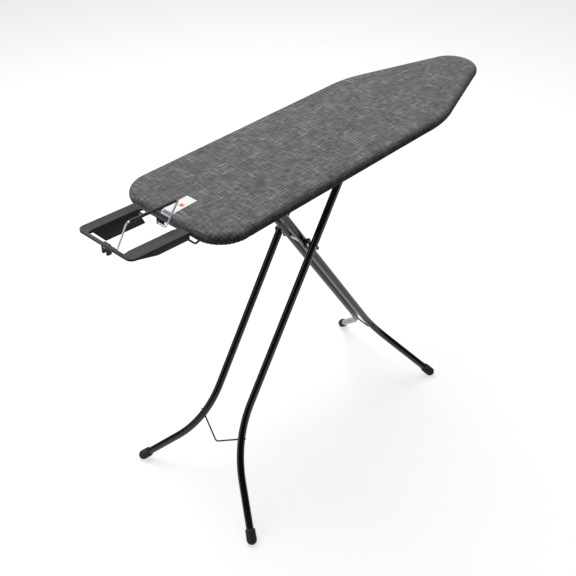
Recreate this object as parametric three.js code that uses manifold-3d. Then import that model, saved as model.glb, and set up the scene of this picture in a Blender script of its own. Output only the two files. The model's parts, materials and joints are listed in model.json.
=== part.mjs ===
// A folding ironing board: a covered steel mesh top on scissor tube legs, with a hanging iron rest.
// Millimetres, +Z up, +X towards the pointed nose, +Y to the far side. The group is shifted at the end
// so that its origin is the bottom centre of the bounding box. Until then x = 0 is the square end of
// the top, y = 0 the centreline and z = 0 the floor.
import * as THREE from "three";
import { mergeVertices } from "three/addons/utils/BufferGeometryUtils.js";
import Module from "manifold-3d";

const wasm = await Module();
wasm.setup();

const gap = 0.3; // clearance between pieces that touch
const far = 3000; // a cutting block's reach
const cutOver = 1; // a cutter's run past the face it opens

// Top
const boardLength = 1240;
const boardWidth = 380;
const boardTop = 1003; // ironing height
const boardThickness = 36;
const edgeRadius = Math.min(17.5, boardThickness / 2 - 0.5); // no more than the thickness holds
const taperStart = 867;
const noseWidth = 113.6;
const squareCornerRadius = 86;
const taperBendRadius = 352;
const noseTaper = Math.atan2((boardWidth - noseWidth) / 2, boardLength - taperStart);
const noseTangent = Math.tan(Math.PI / 4 - noseTaper / 2);
const noseCornerRadius = Math.min(80, (noseWidth / 2 - gap) / noseTangent); // two meet at the tip
const coverThickness = 2;
const hemWidth = 30;
const padThickness = 8;
const padSkirt = 12;
const plateThickness = 0.8;
const rimInset = 6.5;
const rimClear = 5.4; // rim above the lower inside of the cover
const rimThickness = 1.5;
const rimShelf = 12;
const labelLength = 84;
const labelWidth = 36;
const labelThickness = 0.6;
const labelStart = 3;

// Legs, in each pair's own plane
const legAngle = THREE.MathUtils.degToRad(56.66); // from the floor
const foldedAngle = THREE.MathUtils.degToRad(3); // left when the legs are folded flat
const hingeX = 293;
const hingeDrop = 53; // hinge line below the ironing surface
const upperArm = 286.2; // hinge line to scissor pivot
const tubeRadius = 11;
const tubeWall = 1.2;
const tubeStub = 10; // tube beyond a top joint's centre
const outerHalf = 64;
const innerHalf = 28;
const outerBendUp = 219.8; // bends and braces up the leg from the feet
const outerBendRadius = 342;
const outerFlare = THREE.MathUtils.degToRad(38.7);
const innerBendUp = 226.8;
const innerBendRadius = 219;
const innerFlare = THREE.MathUtils.degToRad(36.9);
const braceRadius = 2.4;
const braceUp = 234.8;
const braceDrop = 52;
const braceCornerRadius = 12;
const braceProud = 2; // wire ends beyond the tubes
const footWall = 4;
const footRadius = tubeRadius + footWall;
const footLength = 30;
const footFlat = 1.5;
const footTaper = 1.5;
const footFloor = 3; // rubber below the tube's end

// Scissor pivot
const boltRadius = 4;
const boltHeadRadius = 8;
const boltHeadHeight = 4;
const boltTip = 2.5;
const boltChamfer = 1;
const nutRadius = 7;
const nutHeight = 5;
const spacerRadius = 7;
const washerRadius = 15;
const washerFarRadius = 12;
const washerThickness = 2.5;

// Hinge of the inner legs and slide of the outer legs
const rodRadius = 5;
const rodHeadRadius = 7;
const rodHeadHeight = 2.5;
const sheet = 2;
const bracketLength = 44;
const bracketRound = 11;
const bracketClear = 3; // inner tubes to bracket ears
const hubWall = 1.2;
const shoeFlange = 2.6;
const shoeFlangeRadius = 10;
const railGap = 11; // outer tube to rail
const railBelow = 12; // rail under the slide line
const railEnd = 15;
const railFoot = 14;

// Height lever
const leverPinY = 60;
const leverPinDrop = 23;
const leverPinRadius = 3;
const leverEyeRadius = 5;
const combStart = 497;
const combEnd = 760;
const combDrop = 2; // comb's web below the pin line
const toothStart = 588;
const toothRamp = 6;
const toothGap = 4; // teeth above the crossbar when the lever is squeezed
const toothHeight = 8.5;
const notchPitch = 32;
const notchCount = 5;
const handleRadius = 3;
const handleReach = 150;
const handleSpan = 50;
const handleCornerRadius = 12;
const handleInset = 6; // handle wire from the comb's end
const handleTail = 10; // wire end short of the pin
const gripRadius = 6;
const leverBracketWidth = 18;
const leverPinTail = 8;
const springRadius = 5.6;
const springWire = 0.8;
const springTurns = 5;
const springRoom = 26;

// Iron rest, in its own frame: x = 0 at its inner end, z = 0 at the flange edge
const restX = -10;
const restDrop = 6; // flange edge below the ironing surface
const restTilt = THREE.MathUtils.degToRad(3.2); // outer end up
const restLength = 169;
const restHalf = 98;
const restFlange = 78; // the flat flange ends and the ridge begins
const restRidge = 70;
const restRidgeRise = 5;
const restEndRise = 0.5; // what is left of the rise at both ends
const restRidgeFade = 22; // ridge sinks to flange height over this run at both ends
const restShoulder = 64;
const restShoulderDrop = 3;
const restLip = 19;
const restWingFoot = 56;
const restWingDrop = 37;
const restSheet = 2.4;
const restOuterBar = 8;
const restInnerBar = 7;
const restOuterLip = 6;
const restCornerRadius = 18;
const restLipTaper = 80;
const wingZone = 75; // half width that holds the wings
const wingInnerTop = 18; // inner end of the wing from the tray's inner edge, at its top
const wingInnerFoot = 4; // and at its foot
const wingOuterTop = 20; // outer end of the wing from the tray's outer edge, at its top
const wingOuterFoot = 49; // and at its foot
const supportRadius = 2.75;
const supportBend = 7;
const supportLipGap = 1.3;
const supportPath = { tail: 48, bend: 8, dipStart: 9, dipEnd: 30, rise: 58, end: 140 };
const supportTailDrop = 10;
const supportBendDrop = 14;
const supportDip = 13; // lowest point below the cover
const supportDipSlope = 5;
const clampStart = 104;
const clampLength = 26;
const clampThickness = 2;
const clampEdge = 6;
const screwAside = 10; // from the wire
const screwEdge = 8;
const screwRadius = 2;
const screwHeadRadius = 4.5;
const screwHeadHeight = 2.4;
const screwTip = 0.5;

// Bail
const bailRadius = 2.25;
const bailLean = THREE.MathUtils.degToRad(26);
const bailFoot = 33.5; // upright from the centreline at flange height
const bailTop = 77;
const bailInner = 12;
const bailInnerTop = 5; // the inner upright leans outwards to this at its top
const bailOuterInset = 18; // outer upright from the tray's outer edge
const bailAxisDrop = 10;
const bailCornerRadius = 7;
const sleeveRadius = 4;
const bailHookRadius = 3.2;
const bailEnd = 1; // wire ends short of the clips' outer faces
const clipWidth = 22;
const clipReach = 12; // length of the outer clip
const clipBody = 4; // body below the bail's axis
const clipInnerProng = 9; // prongs below the bail's axis
const clipOuterProng = 18;
const clipProngWidth = 6;
const sleeveInset = 1; // sleeve ends from the bail's top bends

// Derived levels
const hingeZ = boardTop - hingeDrop;
const pivotX = hingeX + upperArm * Math.cos(legAngle);
const pivotZ = hingeZ - upperArm * Math.sin(legAngle);
const slideX = hingeX + 2 * upperArm * Math.cos(legAngle);
const slideFoldedX = hingeX + 2 * upperArm * Math.cos(foldedAngle);
const coverCentre = boardTop - boardThickness / 2;
const plateTop = boardTop - coverThickness - padThickness - 2 * gap;
const underside = plateTop - plateThickness - gap;
const leverPinZ = boardTop - leverPinDrop;
const rimDepth = boardThickness - 2 * coverThickness - padThickness - 2 * gap - rimClear;
const footAt = (pivotZ - footRadius + footFlat) / Math.sin(legAngle);
const outerBendAt = footAt - outerBendUp;
const innerBendAt = footAt - innerBendUp;
const braceAt = footAt - braceUp;
const restZ = boardTop - restDrop;
const bailOuter = restLength - bailOuterInset;

// Materials
function finish(color, roughness, metalness) {
  return new THREE.MeshStandardMaterial({ color, roughness, metalness });
}

const fabric = finish(0x4a4a4d, 0.95, 0);
const labelFabric = finish(0xf2f2f0, 0.8, 0);
const foam = finish(0xd9d3c4, 0.95, 0);
const whiteSteel = finish(0xb9bcbf, 0.5, 0.6);
const blackSteel = finish(0x0b0b0c, 0.25, 0.4);
const zinc = finish(0xb4b6ba, 0.35, 0.9);
const brass = finish(0xb59a63, 0.35, 0.9);
const rubber = finish(0x17181c, 0.8, 0);
const blackPlastic = finish(0x111112, 0.45, 0);
const greyPlastic = finish(0x3a3b3f, 0.5, 0);

// Turns a closed geometry into a solid for joining and cutting.
function solid(geometry) {
  geometry.deleteAttribute("normal");
  geometry.deleteAttribute("uv");
  const merged = mergeVertices(geometry, 1e-3);
  return new wasm.Manifold(
    new wasm.Mesh({
      numProp: 3,
      vertProperties: merged.attributes.position.array,
      triVerts: new Uint32Array(merged.index.array),
    }),
  );
}

function geometryOf(body) {
  const mesh = body.getMesh();
  const geometry = new THREE.BufferGeometry();
  geometry.setAttribute("position", new THREE.BufferAttribute(mesh.vertProperties, 3));
  geometry.setIndex(new THREE.BufferAttribute(mesh.triVerts, 1));
  const flat = geometry.toNonIndexed();
  flat.computeVertexNormals();
  return flat;
}

function addMesh(parent, name, geometry, material) {
  const mesh = new THREE.Mesh(geometry, material);
  mesh.name = name;
  parent.add(mesh);
  return mesh;
}

function cut(body, ...tools) {
  return geometryOf(tools.reduce((rest, tool) => rest.subtract(solid(tool)), solid(body)));
}

function join(...bodies) {
  return geometryOf(bodies.map(solid).reduce((all, next) => all.add(next)));
}

function box(x0, x1, y0, y1, z0, z1) {
  const geometry = new THREE.BoxGeometry(x1 - x0, y1 - y0, z1 - z0);
  return geometry.translate((x0 + x1) / 2, (y0 + y1) / 2, (z0 + z1) / 2);
}

function roundSection(radius, bore = 0) {
  const section = new THREE.Shape().absarc(0, 0, radius, 0, 2 * Math.PI);
  if (bore > 0) section.holes.push(new THREE.Path().absarc(0, 0, bore, 0, 2 * Math.PI, true));
  return section;
}

// A round bar or ring along Z from 0 to its length.
function bar(radius, bore, length, curveSegments = 8) {
  const settings = { depth: length, bevelEnabled: false, curveSegments };
  return new THREE.ExtrudeGeometry(roundSection(radius, bore), settings);
}

const alongY = (radius, bore, y0, y1, x = 0, z = 0) =>
  bar(radius, bore, y1 - y0).rotateX(-Math.PI / 2).translate(x, y0, z);
const alongX = (radius, bore, x0, x1, y = 0, z = 0) =>
  bar(radius, bore, x1 - x0).rotateY(Math.PI / 2).translate(x0, y, z);

// A path through given stations, so that straight stretches take one step and bends a few.
class BentPath extends THREE.Curve {
  constructor(stations) {
    super();
    this.stations = stations;
  }

  getPoint(t, target = new THREE.Vector3()) {
    const last = this.stations.length - 1;
    const from = Math.min(Math.floor(t * last + 1e-9), last - 1);
    return target.lerpVectors(this.stations[from], this.stations[from + 1], t * last - from);
  }

  getPointAt(u, target) {
    return this.getPoint(u, target);
  }

  getTangentAt(u, target = new THREE.Vector3()) {
    const last = this.stations.length - 1;
    const at = Math.round(u * last);
    target.set(0, 0, 0);
    if (at > 0) target.add(this.stations[at].clone().sub(this.stations[at - 1]).normalize());
    if (at < last) target.add(this.stations[at + 1].clone().sub(this.stations[at]).normalize());
    return target.normalize();
  }
}

// Stations along straight runs whose corners are rounded by arcs.
function bentStations(corners, radius, step = THREE.MathUtils.degToRad(12)) {
  const stations = [corners[0].clone()];
  for (let i = 1; i < corners.length - 1; i += 1) {
    const arriving = corners[i].clone().sub(corners[i - 1]).normalize();
    const leaving = corners[i + 1].clone().sub(corners[i]).normalize();
    const turn = arriving.angleTo(leaving);
    const start = corners[i].clone().addScaledVector(arriving, -radius * Math.tan(turn / 2));
    const inward = leaving.clone().sub(arriving).normalize();
    const centre = corners[i].clone().addScaledVector(inward, radius / Math.cos(turn / 2));
    const axis = arriving.clone().cross(leaving).normalize();
    const steps = Math.max(2, Math.ceil(turn / step));
    for (let k = 0; k <= steps; k += 1) {
      stations.push(start.clone().sub(centre).applyAxisAngle(axis, (turn * k) / steps).add(centre));
    }
  }
  stations.push(corners[corners.length - 1].clone());
  return stations;
}

function sweep(stations, radius, bore = 0, curveSegments = 4) {
  return new THREE.ExtrudeGeometry(roundSection(radius, bore), {
    steps: stations.length - 1,
    extrudePath: new BentPath(stations),
    curveSegments,
  });
}

// The outline of the top, moved inwards by an inset, as straight runs joined by arcs.
function boardOutline(inset) {
  const half = boardWidth / 2;
  const corners = [
    { x: 0, y: -half, r: squareCornerRadius },
    { x: taperStart, y: -half, r: taperBendRadius },
    { x: boardLength, y: -noseWidth / 2, r: noseCornerRadius },
    { x: boardLength, y: noseWidth / 2, r: noseCornerRadius },
    { x: taperStart, y: half, r: taperBendRadius },
    { x: 0, y: half, r: squareCornerRadius },
  ];
  const shape = new THREE.Shape();
  corners.forEach((corner, i) => {
    const at = new THREE.Vector2(corner.x, corner.y);
    const before = corners[(i + corners.length - 1) % corners.length];
    const after = corners[(i + 1) % corners.length];
    const arriving = at.clone().sub(before).normalize();
    const leaving = new THREE.Vector2(after.x, after.y).sub(at).normalize();
    const turn = Math.acos(arriving.dot(leaving));
    const inward = leaving.clone().sub(arriving).normalize();
    const centre = at.clone().addScaledVector(inward, corner.r / Math.cos(turn / 2));
    const begin = Math.atan2(arriving.y, arriving.x) - Math.PI / 2;
    shape.absarc(centre.x, centre.y, corner.r - inset, begin, begin + turn, false);
  });
  return shape;
}

function prism(shape, z0, z1, curveSegments = 4) {
  const settings = { depth: z1 - z0, bevelEnabled: false, curveSegments };
  return new THREE.ExtrudeGeometry(shape, settings).translate(0, 0, z0);
}

// The top's full thickness with a rounded edge, made smaller all round by a wall.
function roundedSlab(wall) {
  const radius = edgeRadius - wall;
  const depth = boardThickness - 2 * edgeRadius;
  return new THREE.ExtrudeGeometry(boardOutline(edgeRadius), {
    depth,
    bevelThickness: radius,
    bevelSize: radius,
    bevelSegments: 3,
    curveSegments: 4,
  }).translate(0, 0, coverCentre - depth / 2);
}

const model = new THREE.Group();

// Padded top
function addTop() {
  const coverOpening = prism(boardOutline(hemWidth), -far, coverCentre);
  const shell = cut(roundedSlab(0), roundedSlab(coverThickness), coverOpening);
  addMesh(model, "ironing_cover", shell, fabric);

  const padCavity = prism(boardOutline(rimInset - gap), -far, plateTop + gap, 5);
  const belowSkirt = box(-far, far, -far, far, -far, plateTop - padSkirt);
  addMesh(model, "foam_pad", cut(roundedSlab(coverThickness + gap), padCavity, belowSkirt), foam);

  const plate = prism(boardOutline(rimInset + rimThickness + gap), plateTop - plateThickness, plateTop);
  addMesh(model, "mesh_plate", plate, whiteSteel);

  const wall = solid(prism(boardOutline(rimInset), plateTop - rimDepth, plateTop));
  const core = solid(prism(boardOutline(rimInset + rimThickness), -far, far));
  const shelf = solid(prism(boardOutline(rimInset + rimThickness / 2), underside - rimThickness, underside));
  const middle = solid(prism(boardOutline(rimInset + rimShelf), -far, far));
  addMesh(model, "rim_frame", geometryOf(wall.subtract(core).add(shelf.subtract(middle))), whiteSteel);

  const labelBase = boardTop + gap;
  const label = box(
    labelStart + edgeRadius,
    labelStart + labelLength,
    -labelWidth / 2,
    labelWidth / 2,
    labelBase,
    labelBase + labelThickness,
  );
  addMesh(model, "cover_label", label, labelFabric);
}

// Bracket that carries the hinge rod of the inner legs
function addHingeBracket() {
  const inside = innerHalf + tubeRadius + bracketClear;
  const outside = inside + sheet;
  const ear = new THREE.Shape();
  ear.moveTo(-bracketLength / 2, underside - hingeZ);
  ear.lineTo(-bracketRound, 0);
  ear.absarc(0, 0, bracketRound, Math.PI, 2 * Math.PI, false);
  ear.lineTo(bracketLength / 2, underside - hingeZ);
  ear.holes.push(new THREE.Path().absarc(0, 0, rodRadius + gap, 0, 2 * Math.PI, true));
  const block = new THREE.ExtrudeGeometry(ear, { depth: sheet, bevelEnabled: false, curveSegments: 8 });
  const standing = block.rotateX(Math.PI / 2);
  const earFar = standing.clone().translate(0, outside, 0);
  const earNear = standing.clone().translate(0, -inside, 0);
  const half = bracketLength / 2;
  const web = box(-half, half, -outside, outside, underside - sheet - hingeZ, underside - hingeZ);
  const bracket = addMesh(model, "inner_hinge_bracket", join(web, earFar, earNear), blackSteel);
  bracket.position.set(hingeX, 0, hingeZ);
}

// Slotted rails in which the outer legs' crossbar slides
const railInside = outerHalf + tubeRadius + railGap;
function addRails() {
  const slotHalf = shoeHubRadius() + gap;
  const start = slideX - slotHalf - railEnd;
  const end = slideFoldedX + slotHalf + railEnd;
  const web = new THREE.Shape();
  web.moveTo(start, underside);
  web.lineTo(start, hingeZ - railBelow);
  web.lineTo(end, hingeZ - railBelow);
  web.lineTo(end, underside);
  const slot = new THREE.Path();
  slot.absarc(slideX - gap, hingeZ, slotHalf, Math.PI / 2, (3 * Math.PI) / 2, false);
  slot.absarc(slideFoldedX + gap, hingeZ, slotHalf, -Math.PI / 2, Math.PI / 2, false);
  web.holes.push(slot);
  for (const [side, sign] of [["near", -1], ["far", 1]]) {
    const plate = new THREE.ExtrudeGeometry(web, { depth: sheet, bevelEnabled: false, curveSegments: 6 });
    plate.rotateX(Math.PI / 2).translate(0, sign * (railInside + sheet / 2) + sheet / 2, 0);
    const inner = sign * railInside;
    const outer = sign * (railInside + railFoot);
    const y0 = Math.min(inner, outer);
    const y1 = Math.max(inner, outer);
    const foot = box(start, end, y0, y1, underside - sheet, underside);
    addMesh(model, "slide_rail_" + side, join(plate, foot), blackSteel);
  }
}

function shoeHubRadius() {
  return rodRadius + gap + hubWall;
}

// Height lever: a notched comb that drops over the crossbar, worked by a wire handle at the edge
function addHeightLever() {
  const pinStart = combStart - leverPinTail;
  const pinEnd = combEnd + springRoom + 3 * sheet;
  const combBottom = hingeZ + rodRadius + toothGap;
  const webTop = leverPinZ - combDrop;
  const webBottom = webTop - sheet;

  const notched = new THREE.Shape();
  notched.moveTo(combStart, webTop);
  notched.lineTo(combStart, webBottom);
  notched.lineTo(toothStart - toothRamp, webBottom);
  notched.lineTo(toothStart, combBottom);
  for (let i = 0; i < notchCount; i += 1) {
    const centre = slideX + i * notchPitch;
    const half = rodRadius + 2 * gap;
    notched.lineTo(centre - half, combBottom);
    notched.absarc(centre, combBottom + toothHeight - half, half, Math.PI, 0, true);
    notched.lineTo(centre + half, combBottom);
  }
  notched.lineTo(combEnd, combBottom);
  notched.lineTo(combEnd, webTop);
  const teeth = new THREE.ExtrudeGeometry(notched, { depth: sheet, bevelEnabled: false, curveSegments: 5 });
  teeth.rotateX(Math.PI / 2).translate(0, sheet / 2, 0);
  const web = box(combStart, combEnd, 0, leverPinY - leverPinRadius / 2, webBottom, webTop);
  const eye = alongX(leverEyeRadius, 0, combStart, combEnd, leverPinY, leverPinZ);
  const bore = alongX(leverPinRadius + gap, 0, combStart - cutOver, combEnd + cutOver, leverPinY, leverPinZ);
  addMesh(model, "height_comb", cut(join(teeth, web, eye), bore), blackSteel);

  const handleZ = webBottom - gap - handleRadius;
  const handleStart = combStart + handleInset;
  const wireEnd = leverPinY - handleTail;
  const wire = [
    new THREE.Vector3(handleStart, wireEnd, handleZ),
    new THREE.Vector3(handleStart, -handleReach, handleZ),
    new THREE.Vector3(handleStart + handleSpan, -handleReach, handleZ),
    new THREE.Vector3(handleStart + handleSpan, wireEnd, handleZ),
  ];
  addMesh(model, "height_handle", sweep(bentStations(wire, handleCornerRadius), handleRadius), blackSteel);
  const gripStart = handleStart + handleCornerRadius + gap;
  const gripEnd = handleStart + handleSpan - handleCornerRadius - gap;
  const grip = alongX(gripRadius, handleRadius + gap, gripStart, gripEnd, -handleReach, handleZ);
  addMesh(model, "handle_grip", grip, blackPlastic);

  addMesh(model, "lever_pin", alongX(leverPinRadius, 0, pinStart, pinEnd, leverPinY, leverPinZ), zinc);
  for (const [place, x] of [["rear", pinStart + sheet], ["front", pinEnd - 2 * sheet]]) {
    const half = leverBracketWidth / 2;
    const ear = box(x, x + sheet, leverPinY - half, leverPinY + half, leverPinZ - half + sheet, underside);
    const footEnd = place === "rear" ? x - half : x + sheet + half;
    const footFrom = Math.min(x, footEnd);
    const footTo = Math.max(x + sheet, footEnd);
    const foot = box(footFrom, footTo, leverPinY - half, leverPinY + half, underside - sheet, underside);
    const hole = alongX(leverPinRadius + gap, 0, x - cutOver, x + sheet + cutOver, leverPinY, leverPinZ);
    addMesh(model, "lever_bracket_" + place, cut(join(ear, foot), hole), blackSteel);
  }

  const stations = [];
  const perTurn = 8;
  const coilStart = combEnd + 2 * springWire;
  const coilLength = springRoom - 7 * springWire;
  for (let i = 0; i <= springTurns * perTurn; i += 1) {
    const angle = (2 * Math.PI * i) / perTurn;
    const x = coilStart + (coilLength * i) / (springTurns * perTurn);
    const y = leverPinY + springRadius * Math.cos(angle);
    stations.push(new THREE.Vector3(x, y, leverPinZ + springRadius * Math.sin(angle)));
  }
  addMesh(model, "lever_spring", sweep(stations, springWire, 0, 3), zinc);
}

// Iron rest: a sheet tray that hangs beyond the square end on two wires
function bentSheet(points, thickness) {
  const line = points.map(([y, z]) => new THREE.Vector2(y, z));
  const offset = line.map((point, i) => {
    const before = i > 0 ? point.clone().sub(line[i - 1]).normalize() : null;
    const after = i < line.length - 1 ? line[i + 1].clone().sub(point).normalize() : null;
    const along = (before ?? after).clone().add(after ?? before).normalize();
    const bend = before && after ? along.dot(after) : 1;
    return point.clone().add(new THREE.Vector2(-along.y, along.x).multiplyScalar(thickness / bend));
  });
  return [...line, ...offset.reverse()];
}

// A closed body through sections in the y-z plane, one at each x.
function loft(stations, sections) {
  const count = sections[0].length;
  const outlines = sections.map((line) => (THREE.ShapeUtils.area(line) < 0 ? [...line].reverse() : line));
  const positions = outlines.flatMap((line, i) => line.flatMap((point) => [stations[i], point.x, point.y]));
  const index = [];
  for (let i = 0; i < stations.length - 1; i += 1) {
    for (let k = 0; k < count; k += 1) {
      const here = i * count + k;
      const next = i * count + ((k + 1) % count);
      index.push(here, next, next + count, here, next + count, here + count);
    }
  }
  for (const last of [false, true]) {
    const line = last ? outlines[outlines.length - 1] : outlines[0];
    const first = last ? (stations.length - 1) * count : 0;
    for (const [a, b, c] of THREE.ShapeUtils.triangulateShape(line, [])) {
      const turnsLeft = THREE.ShapeUtils.area([line[a], line[b], line[c]]) > 0;
      const order = turnsLeft === last ? [a, b, c] : [a, c, b];
      index.push(...order.map((vertex) => first + vertex));
    }
  }
  const geometry = new THREE.BufferGeometry();
  geometry.setAttribute("position", new THREE.Float32BufferAttribute(positions, 3));
  geometry.setIndex(index);
  return geometry;
}

// The tray's plan, with its two outer corners rounded.
function trayPlan(inset) {
  const plan = new THREE.Shape();
  const radius = restCornerRadius;
  plan.moveTo(cutOver, -restHalf + inset);
  plan.lineTo(cutOver, restHalf - inset);
  plan.absarc(-restLength + radius, restHalf - radius, radius - inset, Math.PI / 2, Math.PI, false);
  plan.absarc(-restLength + radius, -restHalf + radius, radius - inset, Math.PI, (3 * Math.PI) / 2, false);
  return plan;
}

function addIronRest() {
  const rest = new THREE.Group();
  rest.position.set(restX, 0, restZ);
  rest.rotation.y = restTilt;
  model.add(rest);

  const section = (rise) => [
    [restHalf, -restLip],
    [restHalf, 0],
    [restFlange, 0],
    [restRidge, rise],
    [restShoulder, rise - restShoulderDrop],
    [restWingFoot, -restWingDrop],
  ];
  const stations = [-restLength, -restLength + restRidgeFade, -restRidgeFade, 0];
  const rises = [restEndRise, restRidgeRise, restRidgeRise, restEndRise];
  const side = solid(loft(stations, rises.map((rise) => bentSheet(section(rise), restSheet))));
  const outline = solid(prism(trayPlan(0), -far, far, 6));
  const outerLip = solid(prism(trayPlan(0), -restOuterLip, 0, 6)).subtract(
    solid(prism(trayPlan(restSheet), -far, far, 6)),
  );
  const barInside = -restLength + restOuterBar;
  const outerBar = solid(box(-restLength, barInside, -restRidge, restRidge, -restSheet, 0));
  const cornerBlock = solid(box(-far, -restLength + restCornerRadius, -far, far, -far, far));
  const cornerSheet = solid(prism(trayPlan(0), -restSheet, 0, 6)).intersect(cornerBlock);
  const cornerOpening = solid(box(barInside, far, -restRidge, restRidge, -far, far));
  const lipBlock = solid(box(-far, -restLength + restLipTaper, -far, far, -far, far));
  const innerBar = solid(box(-restInnerBar, 0, -restRidge, restRidge, -restSheet, 0));

  const belowLip = new THREE.Shape();
  belowLip.moveTo(-restLength - cutOver, -far);
  belowLip.lineTo(-restLength - cutOver, -restOuterLip);
  belowLip.lineTo(-restLength + restCornerRadius, -restOuterLip);
  belowLip.lineTo(-restLength + restLipTaper, -restLip - cutOver);
  belowLip.lineTo(-restLength + restLipTaper, -far);
  const lipTaper = new THREE.ExtrudeGeometry(belowLip, { depth: 2 * far, bevelEnabled: false });
  lipTaper.rotateX(Math.PI / 2).translate(0, far, 0);
  const middle = solid(box(-far, far, -wingZone, wingZone, -far, far));
  const belowSheet = -restSheet - restShoulderDrop;
  const outerTop = -restLength + wingOuterTop;
  const outerFoot = -restLength + wingOuterFoot;
  const wingSide = new THREE.Shape();
  wingSide.moveTo(outerTop, cutOver);
  wingSide.lineTo(outerTop, belowSheet);
  wingSide.lineTo(outerFoot, -restWingDrop - cutOver);
  wingSide.lineTo(-wingInnerFoot, -restWingDrop - cutOver);
  wingSide.lineTo(-wingInnerTop, belowSheet);
  wingSide.lineTo(-wingInnerTop, cutOver);
  const wingKept = new THREE.ExtrudeGeometry(wingSide, { depth: 2 * wingZone, bevelEnabled: false });
  wingKept.rotateX(Math.PI / 2).translate(0, wingZone, 0);
  const wingBlock = box(-far, far, -wingZone, wingZone, -far, belowSheet);
  const wingRelief = solid(wingBlock).subtract(solid(wingKept));

  const tray = side
    .add(side.mirror([0, 1, 0]))
    .subtract(solid(lipTaper).subtract(middle))
    .subtract(wingRelief)
    .add(cornerSheet.subtract(cornerOpening))
    .add(outerLip.intersect(lipBlock))
    .add(outerBar)
    .add(innerBar)
    .intersect(outline);
  addMesh(rest, "iron_rest", geometryOf(tray), greyPlastic);
  addBail(rest);
}

// Bail: a bent wire with a sleeve, turning in two clips under the tray's end bars
function addBail(rest) {
  const axisZ = -bailAxisDrop;
  const footY = -bailFoot + Math.tan(bailLean) * bailAxisDrop;
  const topY = -bailFoot - Math.tan(bailLean) * bailTop;
  const outerClip = -restLength + restSheet + gap;
  const clips = [
    ["inner", -restInnerBar, 0, clipInnerProng],
    ["outer", outerClip, outerClip + clipReach, clipOuterProng],
  ];
  for (const [place, x0, x1, prong] of clips) {
    const half = clipWidth / 2;
    const body = box(x0, x1, -half, half, axisZ - clipBody, -restSheet - gap);
    const prongs = [-1, 1].map((sign) => {
      const y0 = sign > 0 ? half - clipProngWidth : -half;
      return box(x0, x1, y0, y0 + clipProngWidth, axisZ - prong, axisZ);
    });
    const bore = alongX(bailRadius + gap, 0, x0 - cutOver, x1 + cutOver, 0, axisZ);
    const mouth = box(x0 - cutOver, x1 + cutOver, -bailRadius / 2, bailRadius / 2, -far, axisZ);
    const clip = solid(join(body, ...prongs)).subtract(solid(bore)).subtract(solid(mouth));
    addMesh(rest, "bail_clip_" + place, geometryOf(clip), blackPlastic);
  }
  const wire = [
    new THREE.Vector3(-bailEnd, 0, axisZ),
    new THREE.Vector3(-bailInner, 0, axisZ),
    new THREE.Vector3(-bailInner, footY, axisZ),
    new THREE.Vector3(-bailInnerTop, topY, bailTop),
    new THREE.Vector3(-bailOuter, topY, bailTop),
    new THREE.Vector3(-bailOuter, footY, axisZ),
    new THREE.Vector3(-bailOuter, 0, axisZ),
    new THREE.Vector3(-restLength + restSheet + bailEnd, 0, axisZ),
  ];
  const hook = bailHookRadius;
  const round = [hook, hook, bailCornerRadius, bailCornerRadius, hook, hook];
  addMesh(rest, "bail_wire", sweep(bentStationsEach(wire, round), bailRadius), zinc);
  const sleeveStart = -bailOuter + bailCornerRadius + sleeveInset;
  const sleeveEnd = -bailInnerTop - bailCornerRadius - sleeveInset;
  const sleeve = alongX(sleeveRadius, bailRadius + gap, sleeveStart, sleeveEnd, topY, bailTop);
  addMesh(rest, "bail_sleeve", sleeve, blackPlastic);
}

// Like bentStations, with a radius of its own for each corner.
function bentStationsEach(corners, radii) {
  const stations = [corners[0].clone()];
  radii.forEach((radius, i) => {
    const bend = bentStations(corners.slice(i, i + 3), radius, THREE.MathUtils.degToRad(22));
    stations.push(...bend.slice(1, -1));
  });
  stations.push(corners[corners.length - 1].clone());
  return stations;
}

// Wires that carry the rest, clamped under the plate
function addRestSupports() {
  const wireZ = underside - supportRadius - gap;
  const wireY = restHalf - restSheet - supportLipGap - supportRadius;
  const dipZ = coverCentre - edgeRadius - supportDip;
  const path = supportPath;
  for (const [side, sign] of [["near", -1], ["far", 1]]) {
    const y = sign * wireY;
    const wire = [
      new THREE.Vector3(restX - path.tail, y, restZ - supportTailDrop),
      new THREE.Vector3(restX - path.bend, y, restZ - supportBendDrop),
      new THREE.Vector3(path.dipStart, y, dipZ),
      new THREE.Vector3(path.dipEnd, y, dipZ + supportDipSlope),
      new THREE.Vector3(path.rise, y, wireZ),
      new THREE.Vector3(path.end, y, wireZ),
    ];
    const support = sweep(bentStations(wire, supportBend), supportRadius);
    addMesh(model, "rest_support_" + side, support, blackSteel);

    const clampTop = wireZ - supportRadius - gap;
    const clampBottom = clampTop - clampThickness;
    const screwX = clampStart + clampLength / 2;
    const screwY = sign * (wireY - screwAside);
    const clampInner = screwY - sign * screwEdge;
    const clampOuter = y + sign * clampEdge;
    const y0 = Math.min(clampInner, clampOuter);
    const y1 = Math.max(clampInner, clampOuter);
    const plate = box(clampStart, clampStart + clampLength, y0, y1, clampBottom, clampTop);
    const holeDepth = clampThickness + 2 * cutOver;
    const hole = bar(screwRadius + gap, 0, holeDepth).translate(screwX, screwY, clampBottom - cutOver);
    addMesh(model, "rest_clamp_" + side, cut(plate, hole), blackSteel);
    const headTop = clampBottom - gap;
    const shankLength = underside - headTop + screwTip;
    const shank = bar(screwRadius, 0, shankLength).translate(screwX, screwY, headTop - screwTip);
    const head = new THREE.CylinderGeometry(screwHeadRadius, screwHeadRadius / 1.5, screwHeadHeight, 12);
    head.rotateX(Math.PI / 2).translate(screwX, screwY, headTop - screwHeadHeight / 2);
    addMesh(model, "rest_screw_" + side, join(shank, head), zinc);
  }
}

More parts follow.
